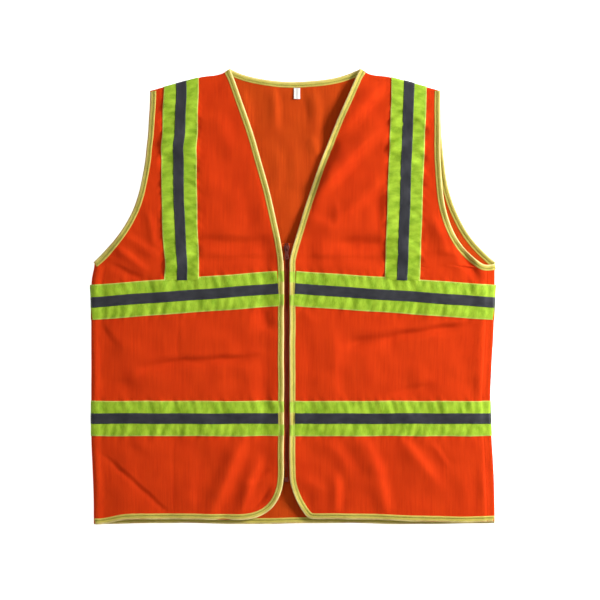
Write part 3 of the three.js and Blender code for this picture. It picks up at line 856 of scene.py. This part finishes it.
def back_panel():
    """The back's cloth: straight rows to below the neck, then rows that bend up to the neck and shoulders."""
    hem = HEM_Y["back"]
    straight = 280.0
    rows_y = hem + spaced(straight - hem, 3, 1, 6)
    out = {}
    for side, sign in SIDES.items():
        armhole = back_armhole(sign)
        out[side] = np.interp(rows_y, armhole[::-1, 1], np.abs(armhole[::-1, 0]))
        out[side][rows_y <= UNDERARM_Y] = FOLD_X
    share = spaced(1, 3 / BACK_SPAN, CLOSE / BACK_SPAN, 10 / BACK_SPAN)
    x = -out["right"][:, None] + share[None, :] * (out["right"] + out["left"])[:, None]
    y = np.repeat(rows_y[:, None], len(share), axis=1)
    top_x = x[-1]
    neck = back_neck()
    in_neck = np.abs(top_x - MIDDLE_X) < NECK_WIDTH / 2
    top_y = np.where(in_neck, np.interp(top_x, neck[:, 0], neck[:, 1]), shoulder_line(top_x))
    steps = np.r_[np.linspace(0, 0.8, 12)[1:], np.linspace(0.8, 1, 9)[1:]]
    x = np.vstack([x, np.repeat(top_x[None, :], len(steps), axis=0)])
    y = np.vstack([y, straight + steps[:, None] * (top_y - straight)[None, :]])
    made = grid("back_cloth", on_back(x, y, 0.0), np.stack([x, y], -1), ORANGE_INSIDE)
    thicken(made, CLOTH, inner=ORANGE)
    width = np.abs(x[:, -1] - x[:, 0])
    area = np.trapz(width, y[:, 0]) * MM * MM
    return made, area, (np.ptp(x) * MM, np.ptp(y) * MM)


# ---------- Tapes, stripes and stitching ----------
def strip_coordinates(line, width, step=2.5):
    """Along and across coordinates of a strip round a straight line, and its plan positions."""
    start, end = np.array(line[0], float), np.array(line[1], float)
    length = np.linalg.norm(end - start)
    direction = (end - start) / length
    normal = np.array([-direction[1], direction[0]])
    fold = np.array([0, 0.4, 0.9, 1.6, 2.4])
    along = np.linspace(0, length, int(length / step) + 1)
    along = np.unique(np.r_[fold[fold < length], along, length - fold[:4]])
    half = width / 2
    middle = np.linspace(-half + 3.2, half - 3.2, max(3, int(width / 5)))
    across = np.r_[-half, -half + 0.6, -half + 1.5, middle, half - 1.5, half - 0.6, half]
    plan = start + along[:, None, None] * direction + across[None, :, None] * normal
    return along, across, plan, direction


def tape(name, line, width, surface, off, thickness, material, body, phase, puff, slanted=False):
    """A tape stitched down along both edges: it lies close there and stands a little proud between."""
    along, across, plan, direction = strip_coordinates(line, width)
    edge = np.clip((width / 2 - np.abs(across)) / 4, 0, 1)
    swell = puff * smooth(edge)[None, :] * (0.6 + 0.4 * ripple(along, phase)[:, None])
    gather = 0.12 * (1 - edge)[None, :] * ripple(along * 1.7, phase + 1)[:, None]
    height = off + np.sign(off) * (swell + gather)
    wander = 0.35 * ripple(along / 6, phase)[:, None]
    x, y = plan[..., 0], plan[..., 1]
    near_start = np.clip(1 - along / 60, 0, 1)[:, None]
    if slanted:  # its end is cut along the shoulder fold
        y = y + near_start * (shoulder_line(x[:1]) - y[:1])
    x = x - wander * direction[1]
    y = y + wander * direction[0]
    made = grid(name, surface(x, y, height), paired(along[:, None], across[None, :]), material)
    thicken(made, thickness)
    fasten(made, body)
    return made


STITCH_SHARE = 0.72  # how much of its pitch a stitch shows


def stitch_row(name, line, across, surface, off, pitch, material, body, radius=0.22):
    """Lockstitches along a line drawn on the cloth, each a small spindle that dips at both ends."""
    path = resampled(np.array(line, float), 1.0)
    heading = headings(path)
    path = path + across * leftward(heading)
    lengths = run_lengths(path)
    count = max(1, int(lengths[-1] / pitch))
    starts = (np.arange(count) + 0.15) * lengths[-1] / count
    shape = np.array([0.0, 0.12, 0.5, 0.88, 1.0])
    thick = radius * np.array([0.15, 0.85, 1.0, 0.85, 0.15])
    lift = radius * np.array([-1.2, 0.2, 0.7, 0.2, -1.2])
    sides = 5
    at = starts[:, None] + shape[None, :] * pitch * STITCH_SHARE
    x, y = (np.interp(at, lengths, path[:, k]) for k in range(2))
    tx, ty = (np.interp(at, lengths, heading[:, k]) for k in range(2))
    centre = surface(x, y, off + np.sign(off) * lift[None, :])
    sideways = np.stack([-ty, tx, np.zeros_like(tx)], -1)
    up = np.broadcast_to([0, 0, 1.0], sideways.shape)
    rings = swept(centre, sideways, up, thick[:, None, None] * ellipse(0, 0, 1, 1, sides))
    stations = len(shape)
    index = np.arange(count * stations * sides).reshape(count, stations, sides)
    turned = np.roll(index, -1, axis=2)
    faces = np.stack([index[:, :-1], turned[:, :-1], turned[:, 1:], index[:, 1:]], -1).reshape(-1, 4)
    turn = thick[:, None] * np.arange(sides) * 2 * math.pi / sides
    made = mesh_object(name, rings, faces, paired(at[:, :, None], turn), material)
    cap_ends(made, index)
    fasten(made, body)
    return made


# Heights over the middle of the cloth: of a tape and of the stripe on it.
FRONT_OFFS = (0.75, 1.25)
FRONT_SHOULDER_OFFS = (1.0, 1.55)
BACK_OFFS = (-0.8, -1.25)
BACK_SHOULDER_OFFS = (-0.7, -1.25)
# What a band is made of. Each layer puffs up a little between its seams, and its stitches lie inset from its
# edges and lifted over it.
LAYERS = (
    SimpleNamespace(kind="tape", width=TAPE_WIDTH, thickness=TAPE_THICK, material=LIME, puff=0.3,
                    seam="seam", inset=1.7, lift=0.25, pitch=3.2, thread=LIME_THREAD, radius=0.22),
    SimpleNamespace(kind="stripe", width=STRIPE_WIDTH, thickness=STRIPE_THICK, material=STRIPE, puff=0.2,
                    seam="stripe_seam", inset=1.1, lift=0.2, pitch=3.0, thread=GREY_THREAD, radius=0.18),
)


def banded(name, line, surface, offs, body, phase, row, ends, slanted=False):
    """A tape, its reflective stripe, and the four rows of stitches that hold them. The two strips stand for
    the CAD's tape and stripe of this row, at each of its ends."""
    made = []
    for layer, off, turn in zip(LAYERS, offs, (phase, phase + 1)):
        strip = tape(f"{name}_{layer.kind}", line, layer.width, surface, off, layer.thickness, layer.material,
                     body, turn, layer.puff, slanted)
        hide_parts(*[f"{row}_{layer.kind}_{end}" for end in ends])
        made.append(strip)
    for k, edge in enumerate((-1, 1)):
        for layer, off in zip(LAYERS, offs):
            at = edge * (layer.width / 2 - layer.inset)
            height = off + np.sign(off) * layer.lift
            made.append(stitch_row(f"{name}_{layer.seam}_{k}", line, at, surface, height, layer.pitch,
                                   layer.thread, body, layer.radius))
    return made


# ---------- Binding ----------
# The folded tape's cross-section: (distance in from the cloth's edge, height over the cloth's middle).
INNER = BINDING_WIDTH - BINDING_REACH
SEAM_IN = INNER - 2.6  # the stitched groove
SECTION = [
    (INNER, 0.34), (INNER, 0.6), (INNER - 0.5, 0.84), (INNER - 1.7, 0.96), (SEAM_IN, 0.76),
    (INNER - 3.4, 0.92), (INNER - 4.6, 1.2), (1.6, 1.3), (0.5, 1.2), (-0.4, 0.85), (-0.95, 0.2),
    (-0.75, -0.5), (0.2, -0.95), (3.0, -0.95), (INNER - 0.5, -0.85), (INNER, -0.6), (INNER, -0.34),
    (2.5, -0.34), (0.3, -0.34), (-0.1, 0.0), (0.3, 0.34), (3.0, 0.34),
]


def over_tapes(x, y):
    """1 where a point of the front lies over one of the tapes that run to the zip, outside their stripes."""
    over = np.zeros(np.broadcast(x, y).shape)
    for (x1, y1), (x2, y2) in front_bands().values():
        if np.sign(x1) == np.sign(np.mean(x)):
            off = np.abs(y - (y1 + (y2 - y1) * (x - x1) / (x2 - x1)))
            beside = (off > STRIPE_WIDTH / 2 + 1) & (off < TAPE_WIDTH / 2 - 1)
            over = np.maximum(over, beside.astype(float))
    return over


def binding(name, path, inward, surface, body, phase=0.0, tilt=-0.5):
    """Folded tape round a cloth edge. inward is +1 where the cloth lies left of the path, and -1 where right.
    tilt says how much its outer fold stands up; a front's edge turns down at the hem."""
    path = resampled(path, 2.2)
    normal = inward * leftward(headings(path))
    lengths = run_lengths(path)
    wander = 0.3 * ripple(lengths / 5, phase)
    inner, height = np.array(SECTION).T
    plan = path[:, None, :] + (inner[None, :] + wander[:, None])[..., None] * normal[:, None, :]
    uneven = 1 + 0.12 * ripple(lengths / 1.5, phase + 2)[:, None] * (height > 0.6)
    of_front = name.startswith("front_edge")
    if of_front:
        tilt = tilt - (tilt + 1.3) * smooth((HEM_Y["front"] + 34 - path[:, 1:]) / 30)
    stand = tilt * (0.9 * (1 - inner / INNER) - 0.2)[None, :] * (height > 0.8)
    points = surface(plan[..., 0], plan[..., 1], 0.0)
    points[..., 2] += height[None, :] * uneven + stand
    made = grid(name, points, paired(lengths[:, None], inner[None, :] + BINDING_REACH), BINDING, wrap=True)
    if of_front:
        crossing = made.data.attributes.new("over_tape", "FLOAT", "POINT")
        crossing.data.foreach_set("value", over_tapes(plan[..., 0], plan[..., 1]).ravel())
    fasten(made, body)
    seam = stitch_row(f"{name}_seam", path, inward * SEAM_IN, surface, 0.92, 3.0, BINDING_THREAD, body)
    return [made, seam]


# ---------- The vest's cloth ----------
def make_back():
    cloth, area, flat = back_panel()
    fasten(cloth, "vest")
    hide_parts("back_panel")
    pieces = [make_label()]
    for name, line in back_bands().items():
        pieces += banded(f"{name}_back", line, on_back, BACK_OFFS, "vest", len(name), name, ["back"])
    for side in SIDES:
        line = shoulder_band(side, "back")
        pieces += banded(f"shoulder_back_{side}", line, on_back, BACK_SHOULDER_OFFS, "vest", 3,
                         "shoulder", [f"back_{side}"], slanted=True)
    neck = binding("neck_edge", back_neck(), -1, on_back, "vest")
    hem = np.array([(-FOLD_X, HEM_Y["back"]), (FOLD_X, HEM_Y["back"])])
    bottom = binding("back_hem_edge", hem, 1, on_back, "vest", phase=1.0, tilt=-1.2)
    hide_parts("neck_binding")
    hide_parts("hem_binding_back")
    pieces += neck + bottom
    for side, sign in SIDES.items():
        path = np.vstack([back_armhole(sign), [(sign * (FOLD_X + 0.9), UNDERARM_Y - 1.0)]])
        pieces += binding(f"armhole_back_edge_{side}", path, -sign, on_back, "vest", 2.0 + sign, 1.5 * sign)
    return cloth


def make_front(side):
    sign = SIDES[side]
    cloth, area, flat = front_panel(side)
    fasten(cloth, bending(side))
    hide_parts(f"front_panel_{side}_side", f"front_panel_{side}_flap")
    pieces = []
    for (name, here), line in front_bands().items():
        if here == side:
            ends = [f"{side}_side", f"{side}_flap"]
            pieces += banded(f"{name}_front_{side}", line, on_front, FRONT_OFFS, bending(side),
                             len(name) + sign, name, ends)
    line = shoulder_band(side, "front")
    pieces += banded(f"shoulder_front_{side}", line, on_front, FRONT_SHOULDER_OFFS, "vest", 5 + sign,
                     "shoulder", [f"front_{side}"], slanted=True)
    edge = binding(f"front_edge_{side}", front_edge(side), sign, on_front, bending(side), phase=4.0 + sign,
                   tilt=2.3 if sign > 0 else 0.8)
    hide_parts(f"neckline_binding_{side}", f"front_binding_{side}", f"hem_binding_{side}")
    underarm = (FOLD_X + 0.5, UNDERARM_Y - 3) if sign > 0 else (-FOLD_X - 0.9, UNDERARM_Y - 1)
    path = softened(resampled(np.vstack([front_armhole(sign), [underarm]]), 3), 6)
    armhole = binding(f"armhole_front_edge_{side}", path, -sign, on_front, "vest", 6.0, 1.8 * sign - 0.2)
    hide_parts(f"armhole_binding_{side}")
    pieces += edge + armhole


def on_inside(x, y, off):
    """A point inside the vest, resting on the back cloth."""
    return on_back(x, y, 1.0 + np.abs(off))


def inner_seam(name, node, line, width):
    """The overlocked allowance inside a seam, with its two rows of thread."""
    off, thickness, thread_off, pitch = 0.3, 0.6, 0.7, 2.2
    made = tape(name, line, width, on_inside, off, thickness, ORANGE, "vest", phase=1.0, puff=0.3)
    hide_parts(node)
    for row, inset in (("overlock", 1.5), ("overlock_edge", 3.5)):
        at = width / 2 - inset
        stitch_row(f"{name}_{row}", line, at, on_inside, thread_off, pitch, ORANGE_THREAD, "vest")


SIDE_ALLOWANCE, SHOULDER_ALLOWANCE = 8, 7  # widths of the cloth turned in at the seams
SHOULDER_INSET = 6  # how far below the shoulder fold its seam lies


def make_seams():
    """The allowances inside the side and shoulder seams."""
    for side, sign in SIDES.items():
        low, high = box(f"side_seam_{side}")
        x = (low[0] + high[0]) / 2
        line = [(x, low[1]), (x, high[1])]
        inner_seam(f"side_allowance_{side}", f"side_seam_{side}", line, SIDE_ALLOWANCE)
        near, far = neck_point(sign)[0] + sign * 14, shoulder_point(sign)[0] - sign * 12
        line = [(x, float(shoulder_line(x)) - SHOULDER_INSET) for x in (near, far)]
        inner_seam(f"shoulder_allowance_{side}", f"shoulder_seam_{side}", line, SHOULDER_ALLOWANCE)


LABEL_OFF, LABEL_THICK = 0.9, 0.3


def make_label():
    """The small blank label that hangs inside the neck, with its free end curling."""
    low, high = box("size_label")
    x = np.linspace(low[0], high[0], 12)
    y = np.linspace(low[1], high[1], 20)
    xs, ys = np.meshgrid(x, y)
    from_top = 1 - (ys - low[1]) / (high[1] - low[1])
    curl = from_top**2 + 0.24 * np.sin(xs * 1.1)
    points = on_back(xs, ys, LABEL_OFF + curl)
    made = grid("size_label_cloth", points, np.stack([xs - (low[0] + high[0]) / 2, ys], -1), LABEL)
    thicken(made, LABEL_THICK)
    fasten(made, "vest")
    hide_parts("size_label")
    return made


# ---------- Zip ----------
UNDER_FRONT = 1.35  # the zip tapes lie this far under the middle of the front cloth


def zip_tape(side):
    """One zip tape, sewn against the front's underside, with a notch at its ends on the right."""
    low, high = box(f"zip_tape_{side}")
    sign = SIDES[side]
    x_in, x_out = (low[0], high[0]) if sign > 0 else (high[0], low[0])
    coil_low, coil_high = box(f"zip_coil_{side}")
    y = np.arange(low[1], high[1] + 0.5, 1.5)
    share = np.linspace(0, 1, 15)
    notch = 1.3 * ((y < coil_low[1]) | (y > coil_high[1])) * (side == "right")
    start = x_in + sign * notch
    x = start[:, None] + share[None, :] * (x_out - start)[:, None]
    ys = np.repeat(y[:, None], len(share), axis=1)
    if sign < 0:
        x = x[:, ::-1]
    middle = (low[2] + high[2]) / 2
    sewn = smooth((np.abs(x - ZIP_X) - 2.5) / 1.2)
    z = middle + sewn * (front_level(x, ys) - UNDER_FRONT - middle) + 0.05 * np.sin(ys / 6 + x / 3)
    made = grid(f"zip_{side}_cloth", np.stack([x, ys, z], -1), np.stack([x, ys], -1), ZIP_TAPE)
    thicken(made, CLOTH)
    fasten(made, f"{side}_flap")
    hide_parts(f"zip_tape_{side}")


def zip_coil(side):
    """One row of a nylon coil zip: a continuous loop of filament, its heads at the zip's line."""
    low, high = box(f"zip_coil_{side}")
    sign = SIDES[side]
    pitch, around, wire = 1.3, 12, 0.32  # of a turn, points in it, and the filament's radius
    turns = int((high[1] - low[1] - 2 * wire) / pitch)
    phase = 0.0 if side == "left" else 0.5
    t = np.arange(turns * around + 1) / around
    middle_x = (low[0] + high[0]) / 2 - sign * 0.1
    reach = (high[0] - low[0]) / 2 - wire + 0.35
    rise = (high[2] - low[2]) / 2 - wire
    angle = 2 * math.pi * t
    y = low[1] + wire + pitch * (t + phase * 0.9) * (1 - 0.5 / max(turns, 1))
    x = middle_x - sign * reach * np.cos(angle)
    z = ZIP_Z + rise * np.sin(angle)
    path = np.stack([x, y, z], 1)
    heading = headings(path)
    first = units(np.cross(heading, [0, 1, 0]))
    second = np.cross(heading, first)
    points = swept(path, first, second, ellipse(0, 0, wire, wire, 6))
    made = grid(f"zip_{side}_coil", points, paired(t[:, None], np.arange(6) * math.pi / 3), NYLON, wrap=True)
    fasten(made, f"{side}_flap")
    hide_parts(f"zip_coil_{side}")


def plate_object(name, outline, holes, low_z, high_z, material, bevel):
    """A flat plate with rounded rims from a plan outline and holes in it."""
    curve = bpy.data.curves.new(name, "CURVE")
    curve.dimensions = "2D"
    curve.fill_mode = "BOTH"
    curve.extrude = (high_z - low_z) / 2 * MM - bevel * MM
    curve.bevel_depth = bevel * MM
    curve.bevel_resolution = 2
    curve.offset = -bevel * MM
    for loop in [outline, *holes]:
        spline = curve.splines.new("POLY")
        spline.points.add(len(loop) - 1)
        for point, (x, y) in zip(spline.points, loop):
            point.co = (x * MM, y * MM, 0, 1)
        spline.use_cyclic_u = True
    source = bpy.data.objects.new(name, curve)
    bpy.context.collection.objects.link(source)
    source.location.z = (low_z + high_z) / 2 * MM
    bpy.context.view_layer.update()
    mesh = bpy.data.meshes.new_from_object(source.evaluated_get(bpy.context.evaluated_depsgraph_get()))
    mesh.transform(source.matrix_world)
    bpy.data.objects.remove(source)
    return finished_metal(name, mesh, material)


def finished_metal(name, mesh, material):
    """A hard piece from a mesh in metres, with its plan coordinates for the material."""
    while mesh.uv_layers:
        mesh.uv_layers.remove(mesh.uv_layers[0])
    mesh.materials.clear()
    mesh.name = name
    co = np.empty(len(mesh.vertices) * 3)
    mesh.vertices.foreach_get("co", co)
    return added(name, mesh, co.reshape(-1, 3)[:, :2] / MM, material)


def ellipse(cx, cy, rx, ry, steps=20):
    angle = np.arange(steps) * 2 * math.pi / steps
    return np.stack([cx + rx * np.cos(angle), cy + ry * np.sin(angle)], 1)


def rounded_box(name, low, high, material, bevel):
    """A small block with well rounded edges, for a stop or a pin."""
    work = bmesh.new()
    bmesh.ops.create_cube(work, size=1)
    for vertex in work.verts:
        vertex.co = [(low[k] + high[k]) / 2 * MM + vertex.co[k] * (high[k] - low[k]) * MM for k in range(3)]
    bmesh.ops.bevel(work, geom=work.edges[:], offset=bevel * MM, segments=3, profile=0.6, affect="EDGES")
    mesh = bpy.data.meshes.new(name)
    work.to_mesh(mesh)
    work.free()
    smoothed(mesh)
    return finished_metal(name, mesh, material)


def zip_ends():
    """The two top stops, the insertion pin and the box that it stands in."""
    for node, name, body, bevel in (
        ("zip_stop_right", "zip_right_top_stop", "right_flap", 0.35),
        ("zip_stop_left", "zip_left_top_stop", "left_flap", 0.35),
        ("insertion_pin", "zip_pin", "right_flap", 0.4),
        ("retainer_box", "zip_box", "left_flap", 0.35),
    ):
        made = rounded_box(name, *box(node), METAL, bevel)
        fasten(made, body)
        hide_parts(node)


def mirrored(right_half, cx):
    """A closed outline round cx, from (distance to the right, y) down its right half."""
    return [(cx + x, y) for x, y in right_half] + [(cx - x, y) for x, y in right_half[-2:0:-1]]


def make_slider():
    """Two shield-shaped plates joined by side walls and a wedge, with a bridge for the pull."""
    low, high = box("slider_body")
    cx, top = (low[0] + high[0]) / 2, high[1]
    plate, overlap, bevel = 1.0, 0.1, 0.12
    face = low[2] + 2 * (ZIP_Z - low[2])  # the slider's upper face
    half, length = (high[0] - low[0]) / 2, high[1] - low[1]
    down = [(0.0, 0.55), (0.9, 0.2), (0.45 * half, 0.0), (0.85 * half, 0.35), (half, 1.3), (half, 4.2),
            (0.86 * half, 0.72 * length), (0.78 * half, length - 0.5), (0.6 * half, length), (0.0, length)]
    outline = mirrored([(x, top - y) for x, y in down], cx)
    pieces = []
    for name, z in (("lower", low[2]), ("upper", face - plate)):
        pieces.append(plate_object(f"slider_{name}_plate", outline, [], z, z + plate, METAL, bevel=0.2))
    for letter, sign in (("r", -1), ("l", 1)):
        x1, x2 = sorted((cx + sign * (half - 0.75), cx + sign * (half - 0.05)))
        for k, (z1, z2) in enumerate(((low[2] + plate, ZIP_Z - 0.6), (ZIP_Z + 0.6, face - plate))):
            corners = (x1, top - 5.5, z1 - overlap), (x2, top - 1.0, z2 + overlap)
            pieces.append(rounded_box(f"slider_wall_{letter}_{k}", *corners, METAL, bevel))
    coil_low, coil_high = box("zip_coil_left")
    gap = 0.1  # between the wedge and the coils that pass it
    for k, (z1, z2) in enumerate(((low[2] + plate, coil_low[2] - gap), (coil_high[2] + gap, face - plate))):
        corners = (cx - 0.4, top - 2.2, z1 - overlap), (cx + 0.4, top - 0.4, z2 + overlap)
        pieces.append(rounded_box(f"slider_wedge_{k}", *corners, METAL, bevel))
    pieces.append(bridge(cx, (low[1] + high[1]) / 2, face, high[2]))
    for made in pieces:
        fasten(made, "slider")
    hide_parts("slider_body")


def bridge(cx, cy, face, top):
    """The arch that the pull hangs from."""
    reach, width, thick = 2.9, 0.75, 0.55
    angle = np.linspace(0, math.pi, 17)
    rise = top - face - thick / 2
    y = cy - reach * np.cos(angle)
    z = face - 0.15 + (rise + 0.15) * np.sin(angle) ** 0.7
    path = np.stack([np.full_like(y, cx), y, z], 1)
    across = np.broadcast_to([1.0, 0, 0], path.shape)
    section = ellipse(0, 0, width, thick / 2, 12)
    points = swept(path, across, np.cross(across, headings(path)), section)
    return grid("slider_bridge", points, paired(y[:, None], section[:, 0] / width), METAL, wrap=True)


def make_pull():
    """A tapered tab with a round grip hole, and an eye whose cross bar passes under the bridge."""
    low, high = box("slider_pull")
    cx = (low[0] + high[0]) / 2
    pivot = high[1] - (high[2] - low[2]) / 2
    foot, half = low[1], (high[0] - low[0]) / 2
    waist = 0.72 * half
    eye_end = pivot - 4.2
    right_half = [(0.0, pivot + 0.4), (0.7 * half, pivot + 0.4), (0.93 * half, pivot), (0.93 * half, eye_end),
                  (waist, eye_end - 1.8), (waist, eye_end - 4.0), (half, foot + 4.2), (half, foot + 1.8),
                  (0.72 * half, foot + 0.4), (0.3 * half, foot), (0.0, foot)]
    eye = [(cx - 1.35, pivot - 0.6), (cx + 1.35, pivot - 0.6), (cx + 1.35, eye_end + 0.6), (cx + 0.9, eye_end),
           (cx - 0.9, eye_end), (cx - 1.35, eye_end + 0.6)]
    grip = ellipse(cx, foot + 3, 1.25, 1.25)
    outline = mirrored(right_half, cx)
    tab = plate_object("zip_pull", outline, [eye, grip], low[2] + 0.05, high[2] - 0.05, METAL, bevel=0.22)
    fasten(tab, "pull")
    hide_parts("slider_pull")


# ---------- Stage ----------
def make_stage():
    """A plain pale floor."""
    size, drop = 40, 0.0002  # in metres: the drop keeps it just clear of the cloth
    floor_shader = bpy.data.materials.new("pale_floor")
    floor_shader.use_nodes = True
    surface = floor_shader.node_tree.nodes["Principled BSDF"]
    surface.inputs["Base Color"].default_value = (0.94, 0.94, 0.94, 1)
    surface.inputs["Roughness"].default_value = 0.9
    surface.inputs["Emission Color"].default_value = WHITE
    surface.inputs["Emission Strength"].default_value = 0.75
    bpy.ops.mesh.primitive_plane_add(size=size, location=(0, 0, -drop))
    floor = bpy.context.object
    floor.name = "floor"
    floor.data.materials.append(floor_shader)


def light(name, place, size, power):
    """A round white light, turned towards the vest's middle."""
    data = bpy.data.lights.new(name, "AREA")
    data.shape = "DISK"
    data.size = size
    data.energy = power
    made = bpy.data.objects.new(name, data)
    made.location = place
    made.rotation_euler = (-Vector(place)).to_track_quat("-Z", "Y").to_euler()
    bpy.context.collection.objects.link(made)


def make_lights():
    """A soft light low on the wearer's left, which models the folds, and a dim one over the right shoulder."""
    light("key", (2.18, 0.74, 1.1), 0.8, 109)
    light("fill", (-1.0, 0.9, 2.6), 2.2, 13)
    world = bpy.data.worlds.new("studio")
    world.use_nodes = True
    world.node_tree.nodes["Background"].inputs["Color"].default_value = WHITE
    world.node_tree.nodes["Background"].inputs["Strength"].default_value = 0.29
    bpy.context.scene.world = world
    bpy.context.scene.view_settings.view_transform = "Standard"
    bpy.context.scene.view_settings.look = "None"


def make_camera():
    """Straight above the vest, far enough back for its edges to look square."""
    data = bpy.data.cameras.new("camera")
    height, across = 2.4, 0.852  # in metres; the frame takes in this much across
    aim_x, aim_y = 0.0099, -0.0057
    data.sensor_width = 36
    data.lens = data.sensor_width * height / across
    camera = bpy.data.objects.new("camera", data)
    camera.location = (aim_x, aim_y, height + OPEN_Z * MM)
    bpy.context.collection.objects.link(camera)
    bpy.context.scene.camera = camera


make_camera()
make_stage()
make_lights()
back_cloth = make_back()
for side_name in SIDES:
    make_front(side_name)
    zip_tape(side_name)
    zip_coil(side_name)
make_seams()
zip_ends()
make_slider()
make_pull()
